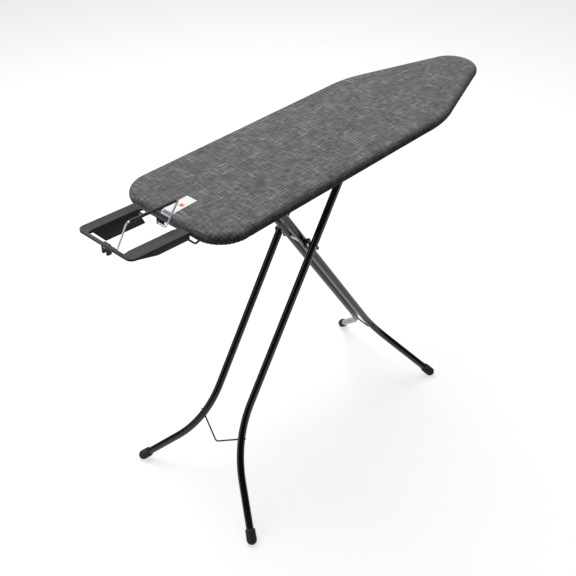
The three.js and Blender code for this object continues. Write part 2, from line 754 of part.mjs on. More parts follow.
// A rubber foot around a tube's end, cut flat where it stands
function footGeometry(centre, upLeg, floorBlock) {
  const profile = [];
  const steps = 6;
  for (let i = 0; i <= steps; i += 1) {
    const angle = (-Math.PI / 2) * (1 - i / steps);
    const out = i === 0 ? 0 : footRadius * Math.cos(angle);
    profile.push(new THREE.Vector2(out, footRadius * Math.sin(angle)));
  }
  profile.push(new THREE.Vector2(footRadius - footTaper, footLength));
  profile.push(new THREE.Vector2(tubeRadius + gap, footLength));
  profile.push(new THREE.Vector2(tubeRadius + gap, footFloor));
  profile.push(new THREE.Vector2(0, footFloor));
  const cap = new THREE.LatheGeometry(profile, 20);
  cap.applyQuaternion(new THREE.Quaternion().setFromUnitVectors(new THREE.Vector3(0, 1, 0), upLeg));
  cap.translate(centre.x, centre.y, centre.z);
  return cut(cap, floorBlock);
}

// One pair of legs in its own plane: x runs down the leg from the scissor pivot, y is across.
function addLegPair(name, direction, half, bendAt, bendRadius, flare) {
  const pair = new THREE.Group();
  pair.position.set(pivotX, 0, pivotZ);
  pair.rotation.y = direction > 0 ? legAngle : Math.PI - legAngle;
  pair.updateMatrix();
  model.add(pair);

  const floorBlock = box(-far, far, -far, far, -far, 0).applyMatrix4(pair.matrix.clone().invert());
  const intoBend = braceAt - bendAt + bendRadius * Math.tan(flare / 2);
  const bendSpread = bendRadius - Math.sqrt(bendRadius ** 2 - intoBend ** 2);
  const braceY = half + bendSpread;
  const braceEnd = new THREE.Vector3(braceAt, braceY, 0);
  const braceCorner = new THREE.Vector3(braceAt + braceDrop, 0, 0);
  const braceOut = braceEnd.clone().sub(braceCorner).normalize();
  const braceTip = braceEnd.clone().addScaledVector(braceOut, tubeRadius / braceOut.y + braceProud);

  for (const [side, sign] of [["near", -1], ["far", 1]]) {
    const foot = new THREE.Vector3(footAt, sign * (half + (footAt - bendAt) * Math.tan(flare)), 0);
    const bend = new THREE.Vector3(bendAt, sign * half, 0);
    const upLeg = bend.clone().sub(foot).normalize();
    const tubeEnd = foot.clone().addScaledVector(upLeg, footFloor + gap);
    const stations = bentStations(
      [new THREE.Vector3(-upperArm - tubeStub, sign * half, 0), bend, tubeEnd],
      bendRadius,
      THREE.MathUtils.degToRad(8),
    );
    const tube = sweep(stations, tubeRadius, tubeRadius - tubeWall, 6);
    const reach = half + 2 * tubeRadius;
    const topHole = alongY(rodRadius + gap, 0, -reach, reach, -upperArm, 0);
    const pivotHole = alongY(boltRadius + gap, 0, -reach, reach, 0, 0);
    const tip = braceTip.clone().setY(sign * braceTip.y);
    const braceHole = sweep([braceCorner, tip.clone().lerp(braceCorner, -0.2)], braceRadius + gap);
    addMesh(pair, name + "_leg_" + side, cut(tube, topHole, pivotHole, braceHole), blackSteel);
    addMesh(pair, name + "_foot_" + side, footGeometry(foot, upLeg, floorBlock), rubber);
  }
  const brace = [braceTip.clone().setY(-braceTip.y), braceCorner, braceTip];
  const braceWire = sweep(bentStations(brace, braceCornerRadius), braceRadius);
  addMesh(pair, name + "_brace_wire", braceWire, blackSteel);
  return pair;
}

// Inner pair, hinged under the square end's half of the top
function addInnerLegs() {
  const pair = addLegPair("inner", 1, innerHalf, innerBendAt, innerBendRadius, innerFlare);
  const rodEnd = innerHalf + tubeRadius + bracketClear + sheet + gap;
  const rod = alongY(rodRadius, 0, -rodEnd - cutOver, rodEnd + cutOver, -upperArm, 0);
  const headNear = alongY(rodHeadRadius, 0, -rodEnd - rodHeadHeight, -rodEnd, -upperArm, 0);
  const headFar = alongY(rodHeadRadius, 0, rodEnd, rodEnd + rodHeadHeight, -upperArm, 0);
  addMesh(pair, "inner_hinge_rod", join(rod, headNear, headFar), zinc);
  const sleeveEnd = innerHalf - tubeRadius - gap;
  addMesh(pair, "pivot_sleeve", alongY(spacerRadius, boltRadius + gap, -sleeveEnd, sleeveEnd), zinc);
  const washerStart = innerHalf + tubeRadius + gap;
  const washer = (radius, y0) => alongY(radius, boltRadius + gap, y0, y0 + washerThickness);
  addMesh(pair, "pivot_washer_near", washer(washerRadius, -washerStart - washerThickness), blackPlastic);
  addMesh(pair, "pivot_washer_far", washer(washerFarRadius, washerStart), blackPlastic);
}

// Outer pair, whose crossbar slides in the rails
function addOuterLegs() {
  const pair = addLegPair("outer", -1, outerHalf, outerBendAt, outerBendRadius, outerFlare);
  const railOutside = railInside + sheet;
  const shoeEnd = railOutside + gap + shoeFlange;
  const barEnd = shoeEnd + gap;
  const rod = alongY(rodRadius, 0, -barEnd - cutOver, barEnd + cutOver, -upperArm, 0);
  const headNear = alongY(rodHeadRadius, 0, -barEnd - rodHeadHeight, -barEnd, -upperArm, 0);
  const headFar = alongY(rodHeadRadius, 0, barEnd, barEnd + rodHeadHeight, -upperArm, 0);
  addMesh(pair, "outer_crossbar", join(rod, headNear, headFar), zinc);

  const hub = shoeHubRadius();
  const bore = rodRadius + gap;
  const inside = railInside - gap;
  const outside = railOutside + gap;
  const profile = [
    new THREE.Vector2(bore, inside - shoeFlange),
    new THREE.Vector2(shoeFlangeRadius, inside - shoeFlange),
    new THREE.Vector2(shoeFlangeRadius, inside),
    new THREE.Vector2(hub, inside),
    new THREE.Vector2(hub, outside),
    new THREE.Vector2(shoeFlangeRadius, outside),
    new THREE.Vector2(shoeFlangeRadius, outside + shoeFlange),
    new THREE.Vector2(bore, outside + shoeFlange),
    new THREE.Vector2(bore, inside - shoeFlange),
  ];
  const shoe = new THREE.LatheGeometry(profile, 20);
  addMesh(pair, "slide_shoe_far", shoe.clone().translate(-upperArm, 0, 0), blackPlastic);
  addMesh(pair, "slide_shoe_near", shoe.clone().rotateX(Math.PI).translate(-upperArm, 0, 0), blackPlastic);

  const spacerStart = innerHalf + tubeRadius + washerThickness + 2 * gap;
  const spacerEnd = outerHalf - tubeRadius - gap;
  const spacer = (y0) => alongY(spacerRadius, boltRadius + gap, y0, y0 + spacerEnd - spacerStart);
  addMesh(pair, "pivot_spacer_near", spacer(-spacerEnd), zinc);
  addMesh(pair, "pivot_spacer_far", spacer(spacerStart), zinc);

  const seat = outerHalf + tubeRadius + gap;
  const tip = -seat - gap - nutHeight - boltTip;
  const bolt = [
    new THREE.Vector2(0, tip),
    new THREE.Vector2(boltRadius - boltChamfer, tip),
    new THREE.Vector2(boltRadius, tip + boltChamfer),
    new THREE.Vector2(boltRadius, seat),
    new THREE.Vector2(boltHeadRadius, seat),
    new THREE.Vector2(boltHeadRadius - boltChamfer, seat + boltHeadHeight / 2),
    new THREE.Vector2(boltHeadRadius / 2, seat + boltHeadHeight),
    new THREE.Vector2(0, seat + boltHeadHeight),
  ];
  addMesh(pair, "pivot_bolt", new THREE.LatheGeometry(bolt, 20), blackSteel);
  const hexagon = new THREE.CylinderGeometry(nutRadius, nutRadius, nutHeight, 6);
  hexagon.translate(0, -seat - nutHeight / 2, 0);
  const nutBore = alongY(boltRadius + gap, 0, -seat - nutHeight - cutOver, -seat + cutOver);
  addMesh(pair, "pivot_nut", cut(hexagon, nutBore), brass);
}

addTop();
addHingeBracket();
addRails();
addHeightLever();
addIronRest();
addRestSupports();
addInnerLegs();
addOuterLegs();

model.updateMatrixWorld(true);
const bounds = new THREE.Box3().setFromObject(model, true);
const middle = bounds.getCenter(new THREE.Vector3());
model.position.set(-middle.x, -middle.y, -bounds.min.z);

export default model;
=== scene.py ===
import json
import math

import bmesh
import bpy
import numpy as np
from mathutils import Matrix, Vector, noise

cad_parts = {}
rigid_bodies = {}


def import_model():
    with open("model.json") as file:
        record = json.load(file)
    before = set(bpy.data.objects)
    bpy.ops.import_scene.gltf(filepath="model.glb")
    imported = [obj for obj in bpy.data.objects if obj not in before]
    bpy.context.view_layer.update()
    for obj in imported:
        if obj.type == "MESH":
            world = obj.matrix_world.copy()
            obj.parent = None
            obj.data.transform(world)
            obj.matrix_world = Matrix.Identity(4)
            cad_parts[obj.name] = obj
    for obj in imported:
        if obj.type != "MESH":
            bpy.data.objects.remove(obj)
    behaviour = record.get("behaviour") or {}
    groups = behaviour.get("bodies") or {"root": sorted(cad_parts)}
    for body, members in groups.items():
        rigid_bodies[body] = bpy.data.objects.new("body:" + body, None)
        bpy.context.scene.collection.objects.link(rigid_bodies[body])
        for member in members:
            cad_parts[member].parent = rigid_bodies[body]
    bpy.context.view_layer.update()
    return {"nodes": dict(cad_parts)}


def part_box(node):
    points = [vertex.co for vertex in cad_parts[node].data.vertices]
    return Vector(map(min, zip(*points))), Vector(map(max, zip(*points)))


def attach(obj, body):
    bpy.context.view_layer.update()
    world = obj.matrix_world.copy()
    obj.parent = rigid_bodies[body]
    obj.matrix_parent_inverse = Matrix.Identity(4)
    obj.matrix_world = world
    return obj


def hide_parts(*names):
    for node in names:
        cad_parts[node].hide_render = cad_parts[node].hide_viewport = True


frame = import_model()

scene = bpy.context.scene
nodes = frame["nodes"]
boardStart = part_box("ironing_cover")[0].x  # square end of the top

# The top, as seen from above and in section
top = {
    "length": 1.240,
    "halfWidth": 0.190,
    "height": 1.003,
    "thickness": 0.036,
    "edgeRadius": 0.0175,
    "taperStart": 0.867,
    "noseHalf": 0.0568,
    "squareCorner": 0.086,
    "taperBend": 0.352,
    "noseCorner": 0.080,
    "fineStep": 0.0021,  # spacing of points round the corners
    "coarseStep": 0.008,
}


def atBoard(x, y, z):
    return Vector((boardStart + x, y, z))


# Small makers that the pieces share
def meshFrom(name, verts, faces, smooth=35.0):
    mesh = bpy.data.meshes.new(name)
    mesh.from_pydata([tuple(v) for v in verts], [], faces)
    mesh.validate()
    work = bmesh.new()
    work.from_mesh(mesh)
    bmesh.ops.recalc_face_normals(work, faces=work.faces)
    work.to_mesh(mesh)
    work.free()
    shade(mesh, smooth)
    return mesh


def shade(mesh, smooth):
    mesh.shade_smooth()
    mesh.set_sharp_from_angle(angle=math.radians(smooth))


def place(name, mesh):
    piece = bpy.data.objects.new(name, mesh)
    scene.collection.objects.link(piece)
    return piece


# Turns live modifiers into a plain mesh and drops them
def settle(piece, smooth=35.0):
    shown = piece.evaluated_get(bpy.context.evaluated_depsgraph_get())
    mesh = bpy.data.meshes.new_from_object(shown)
    mesh.name = piece.name
    piece.modifiers.clear()
    piece.data = mesh
    shade(mesh, smooth)
    return piece


def finishPiece(piece, material, body, slot, *replaced):
    piece.data.materials.clear()
    piece.data.materials.append(material)
    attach(piece, body)
    if replaced:
        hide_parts(*replaced)
    return piece


# Straight runs whose corners are rounded, as a list of points
def bentLine(corners, radii, step=5.0):
    line = [corners[0].copy()]
    for i in range(1, len(corners) - 1):
        radius = radii[i - 1] if isinstance(radii, (list, tuple)) else radii
        arriving = (corners[i] - corners[i - 1]).normalized()
        leaving = (corners[i + 1] - corners[i]).normalized()
        turn = arriving.angle(leaving)
        start = corners[i] - arriving * radius * math.tan(turn / 2)
        centre = corners[i] + (leaving - arriving).normalized() * radius / math.cos(turn / 2)
        axis = arriving.cross(leaving).normalized()
        steps = max(3, math.ceil(math.degrees(turn) / step))
        for k in range(steps + 1):
            line.append(Matrix.Rotation(turn * k / steps, 3, axis) @ (start - centre) + centre)
    line.append(corners[-1].copy())
    return line


# A round wire or tube along a line of points, closed at its ends
def tubeMesh(name, line, radius, sides=16, bore=0.0, dome=0.6):
    count = len(line)
    tangents = []
    for i in range(count):
        before = (line[i] - line[i - 1]).normalized() if i else Vector()
        after = (line[i + 1] - line[i]).normalized() if i < count - 1 else Vector()
        tangents.append((before + after).normalized())
    side = tangents[0].orthogonal().normalized()
    rings = []
    for i in range(count):
        side = (side - tangents[i] * side.dot(tangents[i])).normalized()
        rings.append((line[i], tangents[i], side.copy(), tangents[i].cross(side)))
    verts, faces = [], []

    def ring(centre, across, up, size):
        first = len(verts)
        for k in range(sides):
            angle = 2 * math.pi * k / sides
            verts.append(centre + across * size * math.cos(angle) + up * size * math.sin(angle))
        return first

    def band(a, b):
        for k in range(sides):
            n = (k + 1) % sides
            faces.append((a + k, a + n, b + n, b + k))

    outer = []
    domeSteps = [(math.cos(t), math.sin(t)) for t in (1.2, 0.8, 0.4)] if not bore else []
    start, startAlong, startAcross, startUp = rings[0]
    end, endAlong, endAcross, endUp = rings[-1]
    for c, s in domeSteps:
        outer.append(ring(start - startAlong * radius * dome * s, startAcross, startUp, radius * c))
    for centre, along, across, up in rings:
        outer.append(ring(centre, across, up, radius))
    for c, s in reversed(domeSteps):
        outer.append(ring(end + endAlong * radius * dome * s, endAcross, endUp, radius * c))
    for a, b in zip(outer, outer[1:]):
        band(a, b)
    if bore:
        inner = [ring(centre, across, up, bore) for centre, along, across, up in rings]
        for a, b in zip(inner, inner[1:]):
            band(b, a)
        band(inner[0], outer[0])
        band(outer[-1], inner[-1])
    else:
        for first, centre, along in ((outer[0], start, -startAlong), (outer[-1], end, endAlong)):
            verts.append(centre + along * radius * dome)
            pole = len(verts) - 1
            faces.extend((first + k, first + (k + 1) % sides, pole) for k in range(sides))
    return meshFrom(name, verts, faces)


# A turned piece: profile of (radius, height) along an axis, closed at poles or as a ring
def turnedMesh(name, profile, origin, axis, sides=40, smooth=35.0):
    axis = axis.normalized()
    across = axis.orthogonal().normalized()
    up = axis.cross(across)
    verts, faces, rings = [], [], []
    for radius, height in profile:
        first = len(verts)
        if radius < 1e-6:
            verts.append(origin + axis * height)
            rings.append((first, True))
            continue
        for k in range(sides):
            angle = 2 * math.pi * k / sides
            verts.append(origin + axis * height + (across * math.cos(angle) + up * math.sin(angle)) * radius)
        rings.append((first, False))
    pairs = list(zip(rings, rings[1:]))
    if not rings[0][1]:
        pairs.append((rings[-1], rings[0]))
    for (a, aPole), (b, bPole) in pairs:
        for k in range(sides):
            n = (k + 1) % sides
            if aPole:
                faces.append((a, b + n, b + k))
            elif bPole:
                faces.append((a + k, a + n, b))
            else:
                faces.append((a + k, a + n, b + n, b + k))
    return meshFrom(name, verts, faces, smooth)


# A copy of a CAD node with its triangles merged and its edges softened
def softened(node, width, segments=2):
    mesh = nodes[node].data.copy()
    work = bmesh.new()
    work.from_mesh(mesh)
    bmesh.ops.remove_doubles(work, verts=work.verts, dist=1e-5)
    bmesh.ops.dissolve_limit(work, angle_limit=math.radians(1), verts=work.verts, edges=work.edges)
    bmesh.ops.triangulate(work, faces=[f for f in work.faces if len(f.verts) > 4])
    work.to_mesh(mesh)
    work.free()
    piece = place(pieceNames[node], mesh)
    bevel = piece.modifiers.new("softEdges", "BEVEL")
    bevel.width = width
    bevel.segments = segments
    bevel.limit_method = "ANGLE"
    bevel.angle_limit = math.radians(32)
    bevel.use_clamp_overlap = True
    return settle(piece)


def drill(piece, *cutters):
    for cutter in cutters:
        tool = place("drill", cutter)
        hole = piece.modifiers.new("hole", "BOOLEAN")
        hole.operation = "DIFFERENCE"
        hole.solver = "EXACT"
        hole.object = tool
    settle(piece)
    for o in [o for o in scene.objects if o.name.startswith("drill")]:
        bpy.data.objects.remove(o)
    return piece


pieceNames = {
    "inner_hinge_bracket": "legHingeBracket",
    "slide_rail_near": "slideRailNear",
    "slide_rail_far": "slideRailFar",
    "lever_bracket_rear": "leverBracketRear",
    "lever_bracket_front": "leverBracketFront",
    "height_comb": "heightComb",
    "iron_rest": "ironRestTray",
    "bail_clip_inner": "bailClipInner",
    "bail_clip_outer": "bailClipOuter",
    "rest_clamp_near": "restClampNear",
    "rest_clamp_far": "restClampFar",
    "pivot_nut": "pivotNut",
}
print("frame loaded, board starts at", round(boardStart, 4))


# Materials: a woven cloth and a painted or moulded skin, each with its shared node group
def shaderTree(name):
    material = bpy.data.materials.new(name)
    material.use_nodes = True
    tree = material.node_tree
    shader = tree.nodes["Principled BSDF"]
    return material, tree, shader


def addNode(tree, kind, inputs=None, **settings):
    made = tree.nodes.new(kind)
    for key, value in settings.items():
        setattr(made, key, value)
    for key, value in (inputs or {}).items():
        if isinstance(value, bpy.types.NodeSocket):
            tree.links.new(value, made.inputs[key])
        else:
            made.inputs[key].default_value = value
    return made


def mathOf(tree, kind, *values):
    return addNode(tree, "ShaderNodeMath", dict(enumerate(values)), operation=kind).outputs[0]


def mapped(tree, value, low, high, toLow, toHigh):
    return addNode(tree, "ShaderNodeMapRange", {0: value, 1: low, 2: high, 3: toLow, 4: toHigh}).outputs[0]


def blend(tree, share, first, second):
    return addNode(tree, "ShaderNodeMix", {0: share, 6: first, 7: second}, data_type="RGBA").outputs[2]


def speckle(tree, **inputs):
    return addNode(tree, "ShaderNodeTexNoise", inputs).outputs[0]


def addRelief(tree, shader, height, strength, distance):
    bump = addNode(tree, "ShaderNodeBump", {"Height": height, "Strength": strength, "Distance": distance})
    tree.links.new(bump.outputs[0], shader.inputs["Normal"])


def ramp(tree, factor, stops):
    made = addNode(tree, "ShaderNodeValToRGB", {0: factor})
    made.color_ramp.elements[0].position, made.color_ramp.elements[0].color = stops[0]
    made.color_ramp.elements[1].position, made.color_ramp.elements[1].color = stops[-1]
    for position, color in stops[1:-1]:
        made.color_ramp.elements.new(position).color = color
    return made.outputs[0]


def grey(value, warm=0.0):
    return (value * (1 + warm), value, value * (1 - warm), 1.0)


def newGroup(name, inputs, outputs):
    group = bpy.data.node_groups.new(name, "ShaderNodeTree")
    for label, kind, value in inputs:
        socket = group.interface.new_socket(label, in_out="INPUT", socket_type=kind)
        if value is not None:
            socket.default_value = value
    for label, kind in outputs:
        group.interface.new_socket(label, in_out="OUTPUT", socket_type=kind)
    return group, group.nodes.new("NodeGroupInput"), group.nodes.new("NodeGroupOutput")


# Plain weave with slubby yarns: Height for bump, Melange for colour
def makeWeave():
    group, given, out = newGroup(
        "slubWeave",
        [("Vector", "NodeSocketVector", None), ("Pitch", "NodeSocketFloat", 0.0011)],
        [("Height", "NodeSocketFloat"), ("Melange", "NodeSocketFloat"), ("Cloud", "NodeSocketFloat")],
    )
    spot = given.outputs["Vector"]
    perPitch = mathOf(group, "DIVIDE", math.pi, given.outputs["Pitch"])
    scaled = addNode(group, "ShaderNodeVectorMath", {0: spot}, operation="SCALE")
    group.links.new(perPitch, scaled.inputs["Scale"])
    parts = addNode(group, "ShaderNodeSeparateXYZ", {0: scaled.outputs[0]})
    crossing = mathOf(
        group, "MULTIPLY", mathOf(group, "SINE", parts.outputs[0]), mathOf(group, "SINE", parts.outputs[1])
    )

    def yarns(scale, seed):
        run = addNode(group, "ShaderNodeMapping", {"Vector": spot, "Scale": scale, "Location": seed})
        return speckle(group, Vector=run.outputs[0], Scale=1.0, Detail=2.0, Roughness=0.5)

    def slubs(scale, seed):  # the few thick yarns that show as pale lines
        return mapped(group, yarns(scale, seed), 0.56, 0.74, 0.0, 0.32)

    lengthwise = mathOf(
        group, "ADD", yarns((34, 300, 1), (3.1, 7.7, 0.0)), slubs((11, 240, 1), (1.9, 4.2, 3.0))
    )
    crosswise = mathOf(
        group, "ADD", yarns((300, 34, 1), (9.4, 1.3, 2.0)), slubs((240, 11, 1), (5.7, 8.8, 6.0))
    )
    over = mathOf(group, "MULTIPLY_ADD", crossing, 0.25, 0.5)
    melange = addNode(group, "ShaderNodeMix", {0: over, 2: lengthwise, 3: crosswise}).outputs[0]
    group.links.new(mathOf(group, "MULTIPLY_ADD", crossing, 0.5, 0.5), out.inputs["Height"])
    group.links.new(melange, out.inputs["Melange"])
    group.links.new(speckle(group, Vector=spot, Scale=15.0, Detail=2.0), out.inputs["Cloud"])
    return group


# Fine unevenness of a painted or moulded skin, and where its edges are rubbed
def makeSkin():
    group, given, out = newGroup(
        "paintSkin",
        [
            ("Vector", "NodeSocketVector", None),
            ("Grain Scale", "NodeSocketFloat", 900.0),
            ("Dust Scale", "NodeSocketFloat", 14.0),
        ],
        [("Grain", "NodeSocketFloat"), ("Dust", "NodeSocketFloat"), ("Edge", "NodeSocketFloat")],
    )
    spot = given.outputs["Vector"]
    grain = speckle(group, Vector=spot, Scale=given.outputs["Grain Scale"], Detail=2.0)
    dust = speckle(group, Vector=spot, Scale=given.outputs["Dust Scale"], Detail=5.0, Roughness=0.6)
    point = addNode(group, "ShaderNodeNewGeometry").outputs["Pointiness"]
    group.links.new(grain, out.inputs["Grain"])
    group.links.new(dust, out.inputs["Dust"])
    group.links.new(mapped(group, point, 0.53, 0.62, 0.0, 1.0), out.inputs["Edge"])
    return group


weaveGroup = makeWeave()
skinGroup = makeSkin()


def clothMaterial(name, tones, pitch, bump, sheen):
    material, tree, shader = shaderTree(name)
    uv = addNode(tree, "ShaderNodeTexCoord").outputs["UV"]
    weave = addNode(tree, "ShaderNodeGroup", {"Pitch": pitch, "Vector": uv}, node_tree=weaveGroup)
    melange = weave.outputs["Melange"]
    streaked = mathOf(tree, "MULTIPLY_ADD", melange, 1.3, -0.19)
    clouded = mathOf(tree, "MULTIPLY_ADD", weave.outputs["Cloud"], 0.22, -0.11)
    tone = mathOf(tree, "ADD", streaked, clouded)
    tree.links.new(ramp(tree, tone, tones), shader.inputs["Base Color"])
    raised = mathOf(tree, "ADD", weave.outputs["Height"], mathOf(tree, "MULTIPLY", melange, 0.6))
    addRelief(tree, shader, raised, bump, 0.0004)
    shader.inputs["Roughness"].default_value = 0.92
    shader.inputs["Sheen Weight"].default_value = sheen
    shader.inputs["Sheen Roughness"].default_value = 0.5
    shader.inputs["Specular IOR Level"].default_value = 0.2
    return material


def skinMaterial(name, look):
    material, tree, shader = shaderTree(name)
    spot = addNode(tree, "ShaderNodeTexCoord").outputs["Object"]
    grains = {"Grain Scale": look["grain"], "Vector": spot}
    skin = addNode(tree, "ShaderNodeGroup", grains, node_tree=skinGroup)
    dust = skin.outputs["Dust"]
    dusted = blend(tree, mapped(tree, dust, 0.35, 0.75, 0.0, look["dust"]), look["color"], look["dustColor"])
    worn = mathOf(tree, "MULTIPLY", skin.outputs["Edge"], look["wear"])
    tree.links.new(blend(tree, worn, dusted, look["wearColor"]), shader.inputs["Base Color"])
    rough = mapped(tree, dust, 0.3, 0.75, look["rough"], look["rough"] * 1.35)
    tree.links.new(rough, shader.inputs["Roughness"])
    addRelief(tree, shader, skin.outputs["Grain"], look["bump"], 0.0003)
    shader.inputs["Metallic"].default_value = look["metal"]
    shader.inputs["Specular IOR Level"].default_value = look.get("specular", 0.5)
    shader.inputs["Coat Weight"].default_value = look.get("coat", 0.0)
    shader.inputs["Coat Roughness"].default_value = 0.12
    return material


def skinLook(color, rough, metal, **more):
    look = {
        "color": color, "rough": rough, "metal": metal, "grain": 900.0, "bump": 0.12,
        "dust": 0.06, "dustColor": grey(0.30), "wear": 0.25, "wearColor": grey(0.32),
    }
    look.update(more)
    return look


coverCloth = clothMaterial(
    "charcoalMelange",
    [(0.18, grey(0.030, 0.02)), (0.44, grey(0.100, 0.01)), (0.58, grey(0.165)), (0.88, grey(0.38))],
    0.0011, 0.55, 0.12,
)
foamSkin = skinMaterial(
    "padFoam",
    skinLook((0.52, 0.49, 0.42, 1), 0.95, 0.0, grain=420.0, bump=0.5, dust=0.2, wear=0.0, specular=0.15),
)
topSteel = skinMaterial(
    "meshSteel", skinLook(grey(0.50), 0.42, 0.75, grain=1500.0, bump=0.06, wear=0.35, wearColor=grey(0.75))
)
blackPaint = skinMaterial(
    "blackGlossPaint", skinLook(grey(0.003), 0.10, 0.0, grain=700.0, bump=0.03, dust=0.008, wear=0.05)
)
zinc = skinMaterial(
    "zincPlate", skinLook(grey(0.62), 0.28, 1.0, grain=1800.0, bump=0.05, dustColor=grey(0.2))
)
brass = skinMaterial("brassPlate", skinLook((0.62, 0.46, 0.24, 1), 0.30, 1.0, grain=1800.0, bump=0.05))
footRubber = skinMaterial(
    "footRubber", skinLook((0.014, 0.015, 0.019, 1), 0.62, 0.0, grain=1200.0, bump=0.2, dust=0.18, wear=0.1)
)
blackPlastic = skinMaterial(
    "blackPlastic", skinLook(grey(0.006), 0.42, 0.0, grain=1600.0, bump=0.12, dust=0.03, specular=0.28)
)
trayPaint = skinMaterial(
    "trayPaint",
    skinLook(
        (0.043, 0.042, 0.050, 1), 0.42, 0.0, grain=1300.0, bump=0.14, dust=0.03, wear=0.12, specular=0.24
    ),
)


def labelMaterial():
    material, tree, shader = shaderTree("labelCloth")
    uv = addNode(tree, "ShaderNodeTexCoord").outputs["UV"]
    parts = addNode(tree, "ShaderNodeSeparateXYZ", {0: uv})
    u, v = parts.outputs[0], parts.outputs[1]

    def inside(u0, u1, v0, v1):
        made = mathOf(tree, "GREATER_THAN", u, u0)
        for way, kind, limit in ((u, "LESS_THAN", u1), (v, "GREATER_THAN", v0), (v, "LESS_THAN", v1)):
            made = mathOf(tree, "MULTIPLY", made, mathOf(tree, kind, way, limit))
        return made

    color = label["ground"]
    for mark, tint in label["marks"]:
        color = blend(tree, inside(*mark), color, tint)
    tree.links.new(color, shader.inputs["Base Color"])
    weave = addNode(tree, "ShaderNodeGroup", {"Pitch": 0.0005, "Vector": uv}, node_tree=weaveGroup)
    addRelief(tree, shader, weave.outputs["Height"], 0.3, 0.0002)
    shader.inputs["Roughness"].default_value = 0.75
    return material


# Points round the top with their outward normals; bend is 1 on a corner arc and 0 on a straight
def outlinePoints():
    corners = [
        ((0.0, 0.0), None),
        ((0.0, -top["halfWidth"]), top["squareCorner"]),
        ((top["taperStart"], -top["halfWidth"]), top["taperBend"]),
        ((top["length"], -top["noseHalf"]), top["noseCorner"]),
        ((top["length"], 0.0), None),
    ]
    points = []

    def straight(a, b, normal):
        length = (b - a).length
        steps = max(1, round(length / top["coarseStep"]))
        for k in range(steps):
            points.append((a.lerp(b, (k + 0.5) / steps), normal, 0.0))

    here = Vector(corners[0][0])
    for (corner, radius), (after, _) in zip(corners[1:-1], corners[2:]):
        corner, after = Vector(corner), Vector(after)
        arriving, leaving = (corner - here).normalized(), (after - corner).normalized()
        turn = arriving.angle(leaving)
        begin = corner - arriving * radius * math.tan(turn / 2)
        straight(here, begin, Vector((arriving.y, -arriving.x)))
        inward = (leaving - arriving).normalized()
        centre = corner + inward * radius / math.cos(turn / 2)
        steps = round(radius * turn / top["fineStep"])
        for k in range(steps + 1):
            spin = Matrix.Rotation(turn * k / steps, 2)
            normal = (spin @ (begin - centre)).normalized()
            points.append((centre + normal * radius, normal, 1.0))
        here = corner + leaving * radius * math.tan(turn / 2)
    straight(here, Vector(corners[-1][0]), Vector((1.0, 0.0)))
    mirrored = [(Vector((p.x, -p.y)), Vector((n.x, -n.y)), bend) for p, n, bend in reversed(points)]
    return points + mirrored


outline = outlinePoints()
outlineRun = [0.0]  # distance walked along the outline
for (a, _, _), (b, _, _) in zip(outline, outline[1:]):
    outlineRun.append(outlineRun[-1] + (b - a).length)


def bendMask():
    bends = np.array([bend for _, _, bend in outline])
    spread = np.array(outlineRun)
    soft = np.zeros(len(bends))
    for i in range(len(bends)):
        near = np.exp(-(((spread - spread[i]) / 0.022) ** 2))
        soft[i] = (near * bends).sum() / near.sum()
    return soft


cornerness = bendMask()
spine = {"from": 0.19, "to": 1.15}


def spinePoint(p):
    return Vector((min(max(p.x, spine["from"]), spine["to"]), 0.0))


# Gentle unevenness of the padded surface, the same for pad, cover and label
def topSwell(x, y):
    broad = noise.noise(Vector((x * 9.0, y * 9.0, 4.2))) * 0.0005
    crown = 0.0010 * (1 - min(1.0, (abs(y) / top["halfWidth"]) ** 2))
    return broad + crown


# The cover: one shell round the top's edge, ending in a sewn channel underneath
cover = {
    "cloth": 0.0016,
    "hem": 0.030,
    "casing": 0.0021,  # radius of the sewn channel at the hem
    "casingTurn": 250,  # degrees that the channel is rolled through
    "hemCloth": 0.043,  # where the channel lies on the flat cloth, outward from the rim
    "turnUnder": 0.052,
    "area": 0.565,
    "pleat": 0.0019,
    "pleatPitch": 0.0115,
    "pleatStart": 0.9,  # tilt of the edge where the pleats begin
    "innerPleat": 0.0004,
    "rings": 16,
    "stitchLine": 0.0245,
    "stitchPitch": 0.0042,
}


def coverSection():
    radius = top["edgeRadius"]
    middle = top["height"] - top["thickness"] / 2
    turns = [math.radians(90 * k / 8) for k in range(9)]
    turns += [math.radians(90 + 90 * k / 10) for k in range(1, 11)]
    section = []  # (inset, height, tilt of the normal, cloth walked from the flat top)
    for angle in turns:
        inset = radius * (1 - math.sin(angle))
        section.append((inset, middle + radius * math.cos(angle), angle, radius * angle))
    for k in range(1, 5):
        inset = radius + (cover["hem"] - cover["casing"] * 2 - radius) * k / 4
        section.append((inset, middle - radius, math.pi, radius * math.pi + inset - radius))
    return section


def pleatShape(i, depth):
    run = outlineRun[i]
    wander = noise.noise(Vector((run * 31.0, 1.7, 0.0))) * 1.6
    ridge = 0.5 + 0.5 * math.sin(2 * math.pi * run / cover["pleatPitch"] + wander)
    uneven = 0.65 + 0.35 * noise.noise(Vector((run * 57.0, 8.8, 0.0)))
    strength = 0.10 + 0.90 * cornerness[i]
    return cover["pleat"] * (ridge ** 1.4) * uneven * strength * depth


